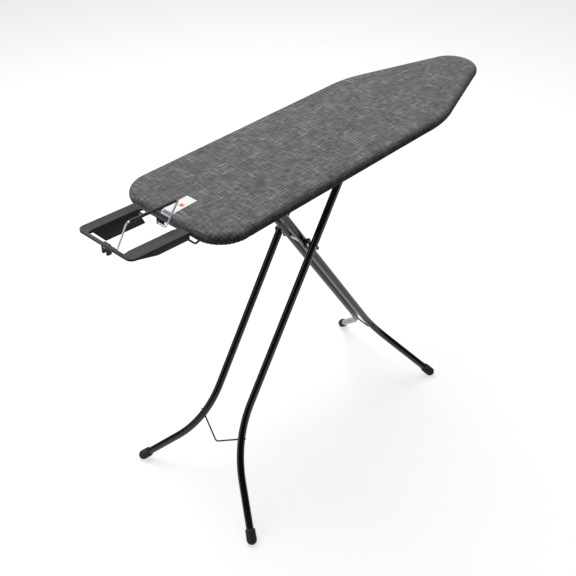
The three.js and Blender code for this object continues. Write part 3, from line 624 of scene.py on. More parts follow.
def makeCover():
    section = coverSection()
    count = len(outline)
    thick, casing = cover["cloth"], cover["casing"]
    verts, uvs, rings = [], [], []
    radius = top["edgeRadius"]

    def ringOf(maker):
        first = len(verts)
        for i in range(count):
            spot, uv = maker(i)
            verts.append(spot)
            uvs.append(uv)
        rings.append(first)

    def topRing(share, height, inset):
        def maker(i):
            p, n, _ = outline[i]
            rim = p - n * inset
            q = spinePoint(p).lerp(rim, share)
            fade = 1 - share ** 6
            return atBoard(q.x, q.y, height + topSwell(q.x, q.y) * fade), (q.x, q.y)
        return maker

    def sectionRing(inset, height, angle, walked, lining):
        depth = max(0.0, (angle - cover["pleatStart"]) / (math.pi - cover["pleatStart"])) ** 1.3

        def maker(i):
            p, n, _ = outline[i]
            push = pleatShape(i, depth)
            if lining:
                push = min(push, cover["innerPleat"]) - thick
            q = p - n * inset + n * push * math.sin(angle)
            uv = p - n * (radius - walked)
            return atBoard(q.x, q.y, height + push * math.cos(angle)), (uv.x, uv.y)
        return maker

    def channelRing(angle):
        def maker(i):
            p, n, _ = outline[i]
            push = pleatShape(i, 1.0) * (0.7 if angle < 0 else 0.2)
            q = p - n * (cover["hem"] - casing * 2 + casing + casing * math.cos(angle))
            uv = p + n * (cover["hemCloth"] + angle * casing)
            return atBoard(q.x, q.y, bottom + casing + casing * math.sin(angle) - push), (uv.x, uv.y)
        return maker

    bottom = top["height"] - top["thickness"]
    for k in range(1, cover["rings"]):  # the flat top, from its spine outwards
        ringOf(topRing((k / cover["rings"]) ** 0.8, top["height"], radius))
    for row in section:
        ringOf(sectionRing(*row, False))
    for k in range(1, 9):  # round the sewn channel that holds the cord
        ringOf(channelRing(math.radians(-90 + cover["casingTurn"] * k / 8)))
    for row in reversed(section[:-1]):  # back along the lining side
        ringOf(sectionRing(*row, True))
    for k in range(cover["rings"] - 1, 0, -3):
        ringOf(topRing((k / cover["rings"]) ** 0.8, top["height"] - thick, radius))
    faces = []
    for a, b in zip(rings, rings[1:]):
        for i in range(count):
            n = (i + 1) % count
            faces.append((a + i, a + n, b + n, b + i))
    half = count // 2
    for first, inner in ((rings[0], False), (rings[-1], True)):  # close over the spine, side to side
        for i in range(half - 1):
            a, b, c, d = first + i, first + i + 1, first + count - 2 - i, first + count - 1 - i
            faces.append((a, b, c, d) if inner else (d, c, b, a))
    mesh = bpy.data.meshes.new("ironingCover")
    mesh.from_pydata(verts, [], faces)
    layer = mesh.uv_layers.new(name="cloth")
    loops = np.zeros(len(mesh.loops), int)
    mesh.loops.foreach_get("vertex_index", loops)
    layer.data.foreach_set("uv", np.array(uvs)[loops].ravel())
    work = bmesh.new()
    work.from_mesh(mesh)
    bmesh.ops.recalc_face_normals(work, faces=work.faces)
    work.to_mesh(mesh)
    work.free()
    shade(mesh, 60)
    return place("ironingCover", mesh)


# Geometry node trees that repeat a stitch or a strand
def growthTree(name, inputs):
    tree = bpy.data.node_groups.new(name, "GeometryNodeTree")
    tree.interface.new_socket("Geometry", in_out="INPUT", socket_type="NodeSocketGeometry")
    for label, value in inputs:
        socket = tree.interface.new_socket(label, in_out="INPUT", socket_type="NodeSocketFloat")
        socket.default_value = value
    tree.interface.new_socket("Geometry", in_out="OUTPUT", socket_type="NodeSocketGeometry")
    return tree, tree.nodes.new("NodeGroupInput"), tree.nodes.new("NodeGroupOutput")


def closeTree(tree, geometry, material, out):
    real = addNode(tree, "GeometryNodeRealizeInstances", {0: geometry})
    dressed = addNode(tree, "GeometryNodeSetMaterial", {0: real.outputs[0], "Material": material})
    tree.links.new(dressed.outputs[0], out.inputs[0])


def grow(piece, tree, sizes, smooth=35.0):
    modifier = piece.modifiers.new("grown", "NODES")
    modifier.node_group = tree
    sockets = {item.name: item.identifier for item in tree.interface.items_tree if item.in_out == "INPUT"}
    for label, value in sizes.items():
        modifier[sockets[label]] = value
    return settle(piece, smooth)


# Stitches laid end to end along a polyline
def stitchTree(material):
    tree, given, out = growthTree("stitchRow", [("Pitch", 0.004), ("Stitch", 0.0028), ("Thread", 0.0004)])
    line = addNode(tree, "GeometryNodeMeshToCurve", {0: given.outputs["Geometry"]})
    dots = addNode(tree, "GeometryNodeCurveToPoints", {0: line.outputs[0]}, mode="LENGTH")
    tree.links.new(given.outputs["Pitch"], dots.inputs["Length"])
    turned = addNode(tree, "FunctionNodeAlignRotationToVector", {"Vector": dots.outputs["Tangent"]}, axis="X")
    bead = addNode(tree, "GeometryNodeMeshUVSphere", {"Segments": 6, "Rings": 4, "Radius": 0.5})
    size = addNode(tree, "ShaderNodeCombineXYZ", {0: given.outputs["Stitch"]})
    tree.links.new(given.outputs["Thread"], size.inputs[1])
    tree.links.new(given.outputs["Thread"], size.inputs[2])
    row = addNode(
        tree, "GeometryNodeInstanceOnPoints",
        {
            "Points": dots.outputs[0], "Instance": bead.outputs[0],
            "Rotation": turned.outputs[0], "Scale": size.outputs[0],
        },
    )
    closeTree(tree, row.outputs[0], material, out)
    return tree


# Crossed strands of expanded sheet on every given point
def latticeTree(material):
    tree, given, out = growthTree(
        "expandedSheet",
        [("Long", 0.014), ("Short", 0.007), ("Strand", 0.0014), ("Sheet", 0.0007), ("Twist", 0.3)],
    )
    half = [mathOf(tree, "MULTIPLY", given.outputs[way], 0.5) for way in ("Long", "Short")]
    angle = mathOf(tree, "ARCTAN2", half[1], half[0])
    squares = [mathOf(tree, "POWER", side, 2.0) for side in half]
    reach = mathOf(tree, "SQRT", mathOf(tree, "ADD", *squares))
    size = addNode(tree, "ShaderNodeCombineXYZ", {0: mathOf(tree, "MULTIPLY", reach, 2.0)})
    tree.links.new(given.outputs["Strand"], size.inputs[1])
    tree.links.new(given.outputs["Sheet"], size.inputs[2])
    strand = addNode(tree, "GeometryNodeMeshCube", {"Size": size.outputs[0]})
    both = addNode(tree, "GeometryNodeJoinGeometry")
    for way in (1.0, -1.0):
        rolling = mathOf(tree, "MULTIPLY", given.outputs["Twist"], way)
        twist = addNode(tree, "ShaderNodeCombineXYZ", {0: rolling})
        rolled = addNode(tree, "GeometryNodeTransform", {0: strand.outputs[0], "Rotation": twist.outputs[0]})
        turn = addNode(tree, "ShaderNodeCombineXYZ", {2: mathOf(tree, "MULTIPLY", angle, way)})
        laid = addNode(tree, "GeometryNodeTransform", {0: rolled.outputs[0], "Rotation": turn.outputs[0]})
        tree.links.new(laid.outputs[0], both.inputs[0])
    points = given.outputs["Geometry"]
    spread = addNode(tree, "GeometryNodeInstanceOnPoints", {"Points": points, "Instance": both.outputs[0]})
    closeTree(tree, spread.outputs[0], material, out)
    return tree


def polyline(name, points, closed=True):
    mesh = bpy.data.meshes.new(name)
    count = len(points)
    edges = [(i, (i + 1) % count) for i in range(count if closed else count - 1)]
    mesh.from_pydata([tuple(p) for p in points], edges, [])
    return place(name, mesh)


def threadMaterial(name, tone):
    return skinMaterial(name, skinLook(grey(tone), 0.8, 0.0, grain=2500.0, bump=0.3, dust=0.0, wear=0.0))


coverPiece = finishPiece(makeCover(), coverCloth, "board", "cover_fabric", "ironing_cover")
threadDark = threadMaterial("hemThread", 0.05)
threadLight = threadMaterial("labelThread", 0.62)
hemLine = []
for i, (p, n, _) in enumerate(outline):
    q = p - n * cover["stitchLine"]
    hemLine.append(atBoard(q.x, q.y, top["height"] - top["thickness"] - pleatShape(i, 1.0) * 0.9 - 0.0001))
hemStitches = grow(
    polyline("hemStitches", hemLine), stitchTree(threadDark),
    {"Pitch": cover["stitchPitch"], "Stitch": 0.0030, "Thread": 0.0006},
)
finishPiece(hemStitches, threadDark, "board", "cover_fabric")
coverArea = sum(f.area for f in coverPiece.data.polygons) / 2
print("cover made, one layer is", round(coverArea, 4), "square metres")


# The pad and the rim, both run round the outline
def roundTop(name, section, closedLoop, smooth=35.0, swell=0.0):
    verts, faces, rings = [], [], []
    count = len(outline)
    for inset, height in section:
        rings.append(len(verts))
        for p, n, _ in outline:
            q = p - n * inset
            verts.append(atBoard(q.x, q.y, height))
    if not closedLoop:  # a lid and a base reach in to the spine
        for share in (0.75, 0.5, 0.25):
            rings.append(len(verts))
            for p, n, _ in outline:
                q = spinePoint(p).lerp(p - n * section[-1][0], share)
                verts.append(atBoard(q.x, q.y, section[-1][1]))
        for share in (0.75, 0.5, 0.25):
            rings.insert(0, len(verts))
            for p, n, _ in outline:
                q = spinePoint(p).lerp(p - n * section[0][0], share)
                verts.append(atBoard(q.x, q.y, section[0][1] + topSwell(q.x, q.y) * (1 - share ** 6) * swell))
    pairs = list(zip(rings, rings[1:])) + ([(rings[-1], rings[0])] if closedLoop else [])
    for a, b in pairs:
        for i in range(count):
            n = (i + 1) % count
            faces.append((a + i, a + n, b + n, b + i))
    if not closedLoop:
        for first in (rings[0], rings[-1]):
            for i in range(count // 2 - 1):
                faces.append((first + i, first + i + 1, first + count - 2 - i, first + count - 1 - i))
    return place(name, meshFrom(name, verts, faces, smooth))


pad = {"gap": 0.0023, "plate": 0.9924, "skirt": 0.012, "inner": 0.0062}


def padSection():
    radius = top["edgeRadius"] - pad["gap"]
    middle = top["height"] - top["thickness"] / 2
    section = []
    for k in range(9):
        angle = math.radians(90 * k / 8)
        section.append((top["edgeRadius"] - radius * math.sin(angle), middle + radius * math.cos(angle)))
    low, high = pad["plate"] - pad["skirt"], pad["plate"] + 0.0004
    section += [(0.0026, low + 0.0008), (0.0034, low), (0.0054, low + 0.0002), (pad["inner"], low + 0.0012)]
    section += [(pad["inner"], pad["plate"] - 0.001), (0.0072, high), (0.012, high)]
    return section


padPiece = roundTop("feltPad", padSection(), False, 50, swell=0.8)
finishPiece(padPiece, foamSkin, "board", "pad_foam", "foam_pad")

rim = {"inset": 0.0065, "wall": 0.0015, "depth": 0.018, "shelf": 0.012, "plate": 0.9924, "under": 0.9913}
rimSection = [
    (rim["inset"], rim["plate"] - rim["depth"]),
    (rim["inset"], rim["plate"] - 0.0004),
    (rim["inset"] + 0.0004, rim["plate"]),
    (rim["inset"] + rim["wall"], rim["plate"]),
    (rim["inset"] + rim["wall"], rim["under"]),
    (rim["inset"] + rim["shelf"] - 0.0004, rim["under"]),
    (rim["inset"] + rim["shelf"], rim["under"] - 0.0005),
    (rim["inset"] + rim["shelf"], rim["under"] - rim["wall"]),
    (rim["inset"] + rim["wall"] + 0.002, rim["under"] - rim["wall"]),
    (rim["inset"] + rim["wall"], rim["under"] - rim["wall"] - 0.002),
    (rim["inset"] + rim["wall"], rim["plate"] - rim["depth"]),
]
rimPiece = roundTop("topRim", rimSection, True)
finishPiece(rimPiece, topSteel, "board", "top_steel", "rim_frame")


# The expanded steel sheet that the pad lies on
sheet = {"long": 0.0145, "short": 0.0072, "strand": 0.0015, "thick": 0.0006, "inset": 0.0105}


def makeLattice():
    edge = [p - n * sheet["inset"] for p, n, _ in outline]
    xs = np.array([p.x for p in edge])
    ys = np.array([p.y for p in edge])
    half = len(edge) // 2
    nearX, nearY = xs[:half], -ys[:half]
    points = []
    steps = int(top["length"] / sheet["long"])
    for i in range(steps + 1):
        x = i * sheet["long"]
        if not nearX.min() < x < nearX.max():
            continue
        reach = nearY[np.argsort(np.abs(nearX - x))[:2]].max()
        rows = int(reach / sheet["short"])
        points += [atBoard(x, j * sheet["short"], rim["plate"] - 0.0005) for j in range(-rows, rows + 1)]
    seeds = bpy.data.meshes.new("meshPlate")
    seeds.from_pydata([tuple(p) for p in points], [], [])
    sizes = {
        "Long": sheet["long"], "Short": sheet["short"], "Strand": sheet["strand"], "Sheet": sheet["thick"],
    }
    return grow(place("meshPlate", seeds), latticeTree(topSteel), sizes)


meshPiece = finishPiece(makeLattice(), topSteel, "board", "top_steel", "mesh_plate")
print("pad, rim and sheet made:", len(meshPiece.data.polygons), "faces in the sheet")

# The label sewn over the square end
label = {
    "ground": (0.80, 0.80, 0.79, 1),
    "start": 0.003,
    "end": 0.087,
    "half": 0.018,
    "lift": 0.0004,
    "thick": 0.0005,
    "marks": [
        ((0.0040, 0.0125, -0.0150, 0.0150), (0.19, 0.21, 0.34, 1)),
        ((0.0145, 0.0157, -0.0150, 0.0060), (0.40, 0.42, 0.52, 1)),
        ((0.0175, 0.0187, -0.0150, 0.0010), (0.40, 0.42, 0.52, 1)),
        ((0.0430, 0.0550, -0.0105, 0.0015), (0.66, 0.19, 0.13, 1)),
    ],
}


def labelSpot(walked, y, lift):
    # distance walked from the label's lower end, up over the rounded edge and along the top
    radius = top["edgeRadius"]
    turn = math.asin((radius - label["start"]) / radius)
    arc = radius * turn
    if walked < arc:
        angle = turn - walked / radius
        reach = radius + lift
        middle = top["height"] - top["thickness"] / 2
        return atBoard(radius - reach * math.sin(angle), y, middle + reach * math.cos(angle))
    x = radius + walked - arc
    share = min(1.0, (x - radius) / 0.17)
    return atBoard(x, y, top["height"] + lift + topSwell(x, y) * (1 - (1 - share) ** 6))


def makeLabel():
    radius = top["edgeRadius"]
    turn = math.asin((radius - label["start"]) / radius)
    total = radius * turn + label["end"] - radius
    rows, columns = 60, 24
    work = bmesh.new()
    layer = work.loops.layers.uv.new("cloth")
    sides = []
    for lift in (label["lift"] + label["thick"], label["lift"]):
        sides.append([
            [
                work.verts.new(labelSpot(total * i / rows, label["half"] * (2 * j / columns - 1), lift))
                for j in range(columns + 1)
            ]
            for i in range(rows + 1)
        ])
    where = {}
    for side in sides:
        for i in range(rows + 1):
            for j in range(columns + 1):
                where[side[i][j]] = (total * i / rows, label["half"] * (2 * j / columns - 1))
    upper, lower = sides
    for i in range(rows):
        for j in range(columns):
            work.faces.new((upper[i][j], upper[i][j + 1], upper[i + 1][j + 1], upper[i + 1][j]))
            work.faces.new((lower[i][j], lower[i + 1][j], lower[i + 1][j + 1], lower[i][j + 1]))
    for i in range(rows):
        work.faces.new((upper[i][0], upper[i + 1][0], lower[i + 1][0], lower[i][0]))
        work.faces.new((upper[i][columns], lower[i][columns], lower[i + 1][columns], upper[i + 1][columns]))
    for j in range(columns):
        work.faces.new((upper[0][j], lower[0][j], lower[0][j + 1], upper[0][j + 1]))
        work.faces.new((upper[rows][j], upper[rows][j + 1], lower[rows][j + 1], lower[rows][j]))
    for face in work.faces:
        for loop in face.loops:
            loop[layer].uv = where[loop.vert]
    bmesh.ops.recalc_face_normals(work, faces=work.faces)
    mesh = bpy.data.meshes.new("coverLabel")
    work.to_mesh(mesh)
    work.free()
    shade(mesh, 40)
    edge = []
    inset, half = 0.002, label["half"] - 0.002
    lift = label["lift"] + label["thick"]
    for k in range(40):
        edge.append(labelSpot(inset + (total - 2 * inset) * k / 40, -half, lift))
    edge += [labelSpot(total - inset, -half + 2 * half * k / 16, lift) for k in range(16)]
    for k in range(40):
        edge.append(labelSpot(total - inset - (total - 2 * inset) * k / 40, half, lift))
    edge += [labelSpot(inset, half - 2 * half * k / 16, lift) for k in range(16)]
    return place("coverLabel", mesh), polyline("labelStitches", edge), total


labelPiece, labelEdge, labelTotal = makeLabel()
finishPiece(labelPiece, labelMaterial(), "board", "label_fabric", "cover_label")
labelThread = {"Pitch": 0.0030, "Stitch": 0.0021, "Thread": 0.0004}
labelStitches = grow(labelEdge, stitchTree(threadLight), labelThread)
finishPiece(labelStitches, threadLight, "board", "label_fabric")
print("label made")

# Legs, feet and braces
leg = {
    "angle": math.radians(56.66),
    "hingeX": 0.293,
    "hingeDrop": 0.053,
    "arm": 0.2862,
    "tube": 0.011,
    "wall": 0.0012,
    "stub": 0.010,
    "foot": 0.015,
    "footFlat": 0.0015,
    "footFloor": 0.0033,
    "footLength": 0.030,
    "brace": 0.0024,
    "braceAt": 0.600,
    "braceDrop": 0.052,
    "braceBend": 0.012,
    "braceShows": 0.0015,  # length of the brace's end outside the tube
    "rodHole": 0.0053,
    "boltHole": 0.0043,
    "sides": 28,
}
pairs = {
    "inner": {"way": 1, "half": 0.028, "bendAt": 0.608, "bend": 0.219, "flare": math.radians(36.9)},
    "outer": {"way": -1, "half": 0.064, "bendAt": 0.615, "bend": 0.342, "flare": math.radians(38.7)},
}
hinge = atBoard(leg["hingeX"], 0, top["height"] - leg["hingeDrop"])
pivot = hinge + Vector((math.cos(leg["angle"]), 0, -math.sin(leg["angle"]))) * leg["arm"]
slidePoint = hinge + Vector((2 * math.cos(leg["angle"]) * leg["arm"], 0, 0))
crosswise = Vector((0, 1, 0))
lengthwise = Vector((1, 0, 0))


def makeLegPair(name, pair):
    down = Vector((pair["way"] * math.cos(leg["angle"]), 0, -math.sin(leg["angle"])))

    def spot(x, y):
        return pivot + down * x + crosswise * y

    footAt = (pivot.z - leg["foot"] + leg["footFlat"]) / math.sin(leg["angle"])
    before = leg["braceAt"] - pair["bendAt"] + pair["bend"] * math.tan(pair["flare"] / 2)
    braceY = pair["half"] + pair["bend"] - math.sqrt(pair["bend"] ** 2 - before ** 2)
    braceEnd = Vector((leg["braceAt"], braceY))
    braceCorner = Vector((leg["braceAt"] + leg["braceDrop"], 0))
    braceOut = (braceEnd - braceCorner).normalized()
    braceTip = braceEnd + braceOut * (leg["tube"] / braceOut.y + leg["braceShows"])
    body = name + "_legs"
    for side, sign in (("near", -1), ("far", 1)):
        footY = pair["half"] + (footAt - pair["bendAt"]) * math.tan(pair["flare"])
        foot, bend = spot(footAt, sign * footY), spot(pair["bendAt"], sign * pair["half"])
        upLeg = (bend - foot).normalized()
        topEnd = spot(-leg["arm"] - leg["stub"], sign * pair["half"])
        line = bentLine([topEnd, bend, foot + upLeg * leg["footFloor"]], pair["bend"], 2.0)
        title = name + "Leg" + side.capitalize()
        tube = place(title, tubeMesh(title, line, leg["tube"], leg["sides"], leg["tube"] - leg["wall"]))
        reach = crosswise * (pair["half"] + 0.03)
        rodAt = spot(-leg["arm"], 0)
        hole = [
            tubeMesh("cut", [rodAt - reach, rodAt + reach], leg["rodHole"], 24),
            tubeMesh("cut", [pivot - reach, pivot + reach], leg["boltHole"], 24),
        ]
        tip = spot(braceTip.x, sign * (braceTip.y + 0.004))
        hole.append(tubeMesh("cut", [spot(braceCorner.x, 0), tip], leg["brace"] + 0.0002, 20))
        drill(tube, *hole)
        finishPiece(tube, blackPaint, body, "black_steel", name + "_leg_" + side)
        makeFoot(name + "Foot" + side.capitalize(), foot, upLeg, body, name + "_foot_" + side)
    title = name + "BraceWire"
    tips = [spot(braceTip.x, -braceTip.y), spot(braceCorner.x, 0), spot(braceTip.x, braceTip.y)]
    brace = place(title, tubeMesh(title, bentLine(tips, leg["braceBend"]), leg["brace"], 14))
    finishPiece(brace, blackPaint, body, "black_steel", name + "_brace_wire")


# The outer skin and the grooves of a foot, from its ball to its mouth, then its bore
def footProfile():
    radius, length, bore = leg["foot"], leg["footLength"], leg["tube"] + 0.0002
    profile = [(0.0, -radius)]
    profile += [(radius * math.sin(a), -radius * math.cos(a)) for a in np.radians(np.arange(7.5, 91, 7.5))]
    for k in range(3):
        height = 0.012 + 0.0045 * k
        lip, groove = radius - 0.0002, radius - 0.0010
        profile += [(lip, height), (groove, height + 0.0006)]
        profile += [(groove, height + 0.0014), (lip, height + 0.0020)]
    for inset, below in ((0.0006, 0.0022), (0.0012, 0.0006), (0.0020, 0.0)):
        profile.append((radius - inset, length - below))
    return profile + [(bore + 0.0004, length), (bore, length - 0.0005), (bore, 0.003), (0.0, 0.003)]


# A foot is cut flat where it meets the floor
def makeFoot(title, centre, upLeg, body, node):
    mesh = turnedMesh(title, footProfile(), centre, upLeg, 48)
    work = bmesh.new()
    work.from_mesh(mesh)
    every = work.verts[:] + work.edges[:] + work.faces[:]
    bmesh.ops.bisect_plane(work, geom=every, plane_co=(0, 0, 0), plane_no=(0, 0, -1), clear_outer=True)
    bmesh.ops.holes_fill(work, edges=[e for e in work.edges if e.is_boundary])
    bmesh.ops.recalc_face_normals(work, faces=work.faces)
    work.to_mesh(mesh)
    work.free()
    shade(mesh, 35)
    finishPiece(place(title, mesh), footRubber, body, "foot_rubber", node)


for name, pair in pairs.items():
    makeLegPair(name, pair)
print("legs, feet and braces made")

# Pivot bolt, hinge rod and sliding crossbar
bolt = {"shank": 0.004, "head": 0.008, "headHeight": 0.004, "nut": 0.005, "tip": 0.0025, "threads": 9}
collar = {"radius": 0.007, "gap": 0.0003, "washer": 0.0025, "nearWasher": 0.015, "farWasher": 0.012}
rod = {"head": 0.007, "headHeight": 0.0025, "shank": 0.005}


def ringProfile(radius, bore, y0, y1, soft=0.0005):
    return [
        (bore, y0), (radius - soft, y0), (radius - soft * 0.3, y0 + soft * 0.3), (radius, y0 + soft),
        (radius, y1 - soft), (radius - soft * 0.3, y1 - soft * 0.3), (radius - soft, y1), (bore, y1),
    ]


def turnedPiece(title, profile, origin, material, body, slot, node, sides=40):
    return finishPiece(
        place(title, turnedMesh(title, profile, origin, crosswise, sides)), material, body, slot, node
    )


innerEdge = pairs["inner"]["half"] + leg["tube"]
outerEdge = pairs["outer"]["half"] + leg["tube"]
sleeveEnd = pairs["inner"]["half"] - leg["tube"] - collar["gap"]
sleeveRing = ringProfile(collar["radius"], leg["boltHole"], -sleeveEnd, sleeveEnd)
turnedPiece("pivotSleeve", sleeveRing, pivot, zinc, "inner_legs", "zinc_steel", "pivot_sleeve")
for side, sign in (("near", -1), ("far", 1)):
    seatFrom = innerEdge + collar["gap"]
    seatTo = seatFrom + collar["washer"]
    y0, y1 = sorted((sign * seatFrom, sign * seatTo))
    washerRing = ringProfile(collar[side + "Washer"], leg["boltHole"], y0, y1, 0.0008)
    turnedPiece(
        "pivotWasher" + side.capitalize(), washerRing, pivot, blackPlastic, "inner_legs", "black_plastic",
        "pivot_washer_" + side,
    )
    spacerTo = pairs["outer"]["half"] - leg["tube"] - collar["gap"]
    y0, y1 = sorted((sign * (seatTo + collar["gap"]), sign * spacerTo))
    turnedPiece(
        "pivotSpacer" + side.capitalize(), ringProfile(collar["radius"], leg["boltHole"], y0, y1),
        pivot, zinc, "outer_legs", "zinc_steel", "pivot_spacer_" + side,
    )


def boltProfile():
    shank, head, headHeight = bolt["shank"], bolt["head"], bolt["headHeight"]
    seat = outerEdge + collar["gap"]
    tipEnd = -seat - collar["gap"] - bolt["nut"] - bolt["tip"]
    profile = [(0.0, tipEnd), (shank - 0.0010, tipEnd), (shank - 0.0002, tipEnd + 0.0007)]
    for k in range(bolt["threads"]):
        y = tipEnd + 0.0010 + 0.0008 * k
        profile += [(shank, y), (shank - 0.0005, y + 0.0004)]
    profile += [(shank, tipEnd + 0.0092), (shank, seat), (head - 0.0003, seat)]
    for share, rise in ((1.0, 0.1), (0.97, 0.35), (0.85, 0.65), (0.62, 0.9), (0.3, 1.0), (0.0, 1.0)):
        profile.append((head * share, seat + headHeight * rise))
    return profile


turnedPiece("pivotBolt", boltProfile(), pivot, blackPaint, "outer_legs", "black_steel", "pivot_bolt", 32)
finishPiece(softened("pivot_nut", 0.0005), brass, "outer_legs", "brass_bolt", "pivot_nut")


def rodProfile(end):
    head, headHeight, shank = rod["head"], rod["headHeight"], rod["shank"]
    crown = [(0.0, 1.0), (0.5, 0.97), (0.85, 0.75), (1.0, 0.35)]  # shares of the head's radius and height
    profile = [(head * share, -end - headHeight * rise) for share, rise in crown]
    profile += [(head, -end - 0.0002), (shank, -end), (shank, end), (head, end + 0.0002)]
    return profile + [(head * share, end + headHeight * rise) for share, rise in reversed(crown)]


rodEnd = innerEdge + 0.0053
turnedPiece("legHingeRod", rodProfile(rodEnd), hinge, zinc, "inner_legs", "zinc_steel", "inner_hinge_rod")
railInside = 0.086
shoe = {
    "flange": 0.0026, "radius": 0.010, "hub": 0.0065, "soft": 0.0005,
    "in": railInside - 0.0003, "out": railInside + 0.0023,
}
barEnd = shoe["out"] + shoe["flange"] + 0.0003
turnedPiece(
    "slidingCrossbar", rodProfile(barEnd), slidePoint, zinc, "outer_legs", "zinc_steel", "outer_crossbar"
)


# One flange each side of the rail's slot, with the hub between them
def shoeProfile(sign):
    radius, soft = shoe["radius"], shoe["soft"]
    inner, outer = shoe["in"] - shoe["flange"], shoe["out"] + shoe["flange"]
    profile = [
        (leg["rodHole"], inner), (radius - soft, inner), (radius, inner + soft),
        (radius, shoe["in"] - 0.0002),
        (radius - 0.0002, shoe["in"]), (shoe["hub"], shoe["in"]), (shoe["hub"], shoe["out"]),
        (radius - 0.0002, shoe["out"]), (radius, shoe["out"] + 0.0002), (radius, outer - soft),
        (radius - soft, outer), (leg["rodHole"], outer),
    ]
    return [(r, sign * y) for r, y in profile]


for side, sign in (("near", -1), ("far", 1)):
    turnedPiece(
        "slideShoe" + side.capitalize(), shoeProfile(sign), slidePoint, blackPlastic, "outer_legs",
        "black_plastic", "slide_shoe_" + side,
    )

# Pressed brackets and rails
pressedParts = (
    "inner_hinge_bracket", "slide_rail_near", "slide_rail_far", "lever_bracket_rear", "lever_bracket_front",
)
for node in pressedParts:
    finishPiece(softened(node, 0.0004), blackPaint, "board", "black_steel", node)
# The height lever: comb, wire handle with its ribbed grip, pin and spring
lever = {
    "pinY": 0.060, "pinZ": 0.980, "combStart": 0.497, "combEnd": 0.760, "reach": 0.150, "span": 0.050,
    "handleDrop": 0.0073, "handleInset": 0.006, "handleRoot": 0.010, "handleBend": 0.012, "wire": 0.003,
}
gripSizes = {
    "inset": 0.013, "bore": 0.0033, "end": 0.0050, "shoulder": 0.0058, "rib": 0.0060, "valley": 0.0054,
    "lead": 0.0015, "ribs": 7,
}
pinSizes = {"radius": 0.003, "tip": 0.0026, "soft": 0.0004, "before": 0.008, "after": 0.032}
finishPiece(softened("height_comb", 0.0003), blackPaint, "height_lever", "black_steel", "height_comb")
handleZ = lever["pinZ"] - lever["handleDrop"]
handleFrom = lever["combStart"] + lever["handleInset"]
handleTo = handleFrom + lever["span"]
handleCorners = [
    atBoard(handleFrom, lever["pinY"] - lever["handleRoot"], handleZ),
    atBoard(handleFrom, -lever["reach"], handleZ),
    atBoard(handleTo, -lever["reach"], handleZ),
    atBoard(handleTo, lever["pinY"] - lever["handleRoot"], handleZ),
]
handleLine = bentLine(handleCorners, lever["handleBend"])
handle = place("heightHandle", tubeMesh("heightHandle", handleLine, lever["wire"], 16))
finishPiece(handle, blackPaint, "height_lever", "black_steel", "height_handle")


def gripProfile(start, end):
    sizes = gripSizes
    profile = [(sizes["bore"], start), (sizes["end"], start), (sizes["shoulder"], start + 0.0006)]
    pitch = (end - start - 2 * sizes["lead"]) / sizes["ribs"]
    for k in range(sizes["ribs"]):
        x = start + sizes["lead"] + pitch * k
        profile += [(sizes["rib"], x), (sizes["rib"], x + pitch * 0.55)]
        profile += [(sizes["valley"], x + pitch * 0.68), (sizes["valley"], x + pitch * 0.88)]
    return profile + [(sizes["shoulder"], end - 0.0006), (sizes["end"], end), (sizes["bore"], end)]


gripShape = gripProfile(handleFrom + gripSizes["inset"], handleTo - gripSizes["inset"])
gripMesh = turnedMesh("handleGrip", gripShape, atBoard(0, -lever["reach"], handleZ), lengthwise, 28)
finishPiece(place("handleGrip", gripMesh), blackPlastic, "height_lever", "black_plastic", "handle_grip")
pinFrom, pinTo = lever["combStart"] - pinSizes["before"], lever["combEnd"] + pinSizes["after"]
pinShape = [
    (0.0, pinFrom), (pinSizes["tip"], pinFrom), (pinSizes["radius"], pinFrom + pinSizes["soft"]),
    (pinSizes["radius"], pinTo - pinSizes["soft"]), (pinSizes["tip"], pinTo), (0.0, pinTo),
]
pinMesh = turnedMesh("leverPin", pinShape, atBoard(0, lever["pinY"], lever["pinZ"]), lengthwise, 24)
finishPiece(place("leverPin", pinMesh), zinc, "board", "zinc_steel", "lever_pin")
spring = {"radius": 0.0056, "wire": 0.0008, "turns": 5, "steps": 20, "from": 0.7616, "length": 0.0204}
springLine = []
for k in range(spring["turns"] * spring["steps"] + 1):
    angle = 2 * math.pi * k / spring["steps"]
    x = spring["from"] + spring["length"] * k / (spring["turns"] * spring["steps"])
    y = lever["pinY"] + spring["radius"] * math.cos(angle)
    springLine.append(atBoard(x, y, lever["pinZ"] + spring["radius"] * math.sin(angle)))
coil = place("leverSpring", tubeMesh("leverSpring", springLine, spring["wire"], 8))
finishPiece(coil, zinc, "board", "zinc_steel", "lever_spring")
print("pivot, slide and lever made")

# The iron rest and its bail, drawn in the tray's own tilted frame
rest = {
    "x": -0.010, "z": 0.997, "tilt": math.radians(3.2), "length": 0.169, "sheet": 0.0024,
    "support": 0.00275, "supportBend": 0.007, "wireY": 0.09195, "dip": 0.013,
}
bail = {
    "wire": 0.00225, "lean": math.radians(26), "foot": 0.0335, "top": 0.077, "inner": 0.012,
    "innerTop": 0.005,
    "outer": 0.151, "axis": -0.010, "corner": 0.007, "footBend": 0.0032, "sleeve": 0.004,
    "sleeveBore": 0.00255, "sleeveEnd": 0.0036,
}
screwSizes = {"thread": 0.0020, "head": 0.0045, "slotLong": 0.0024, "slotWide": 0.0005, "turn": 0.4}


def atRest(x, y, z):
    c, s = math.cos(rest["tilt"]), math.sin(rest["tilt"])
    return atBoard(rest["x"] + x * c + z * s, y, rest["z"] - x * s + z * c)


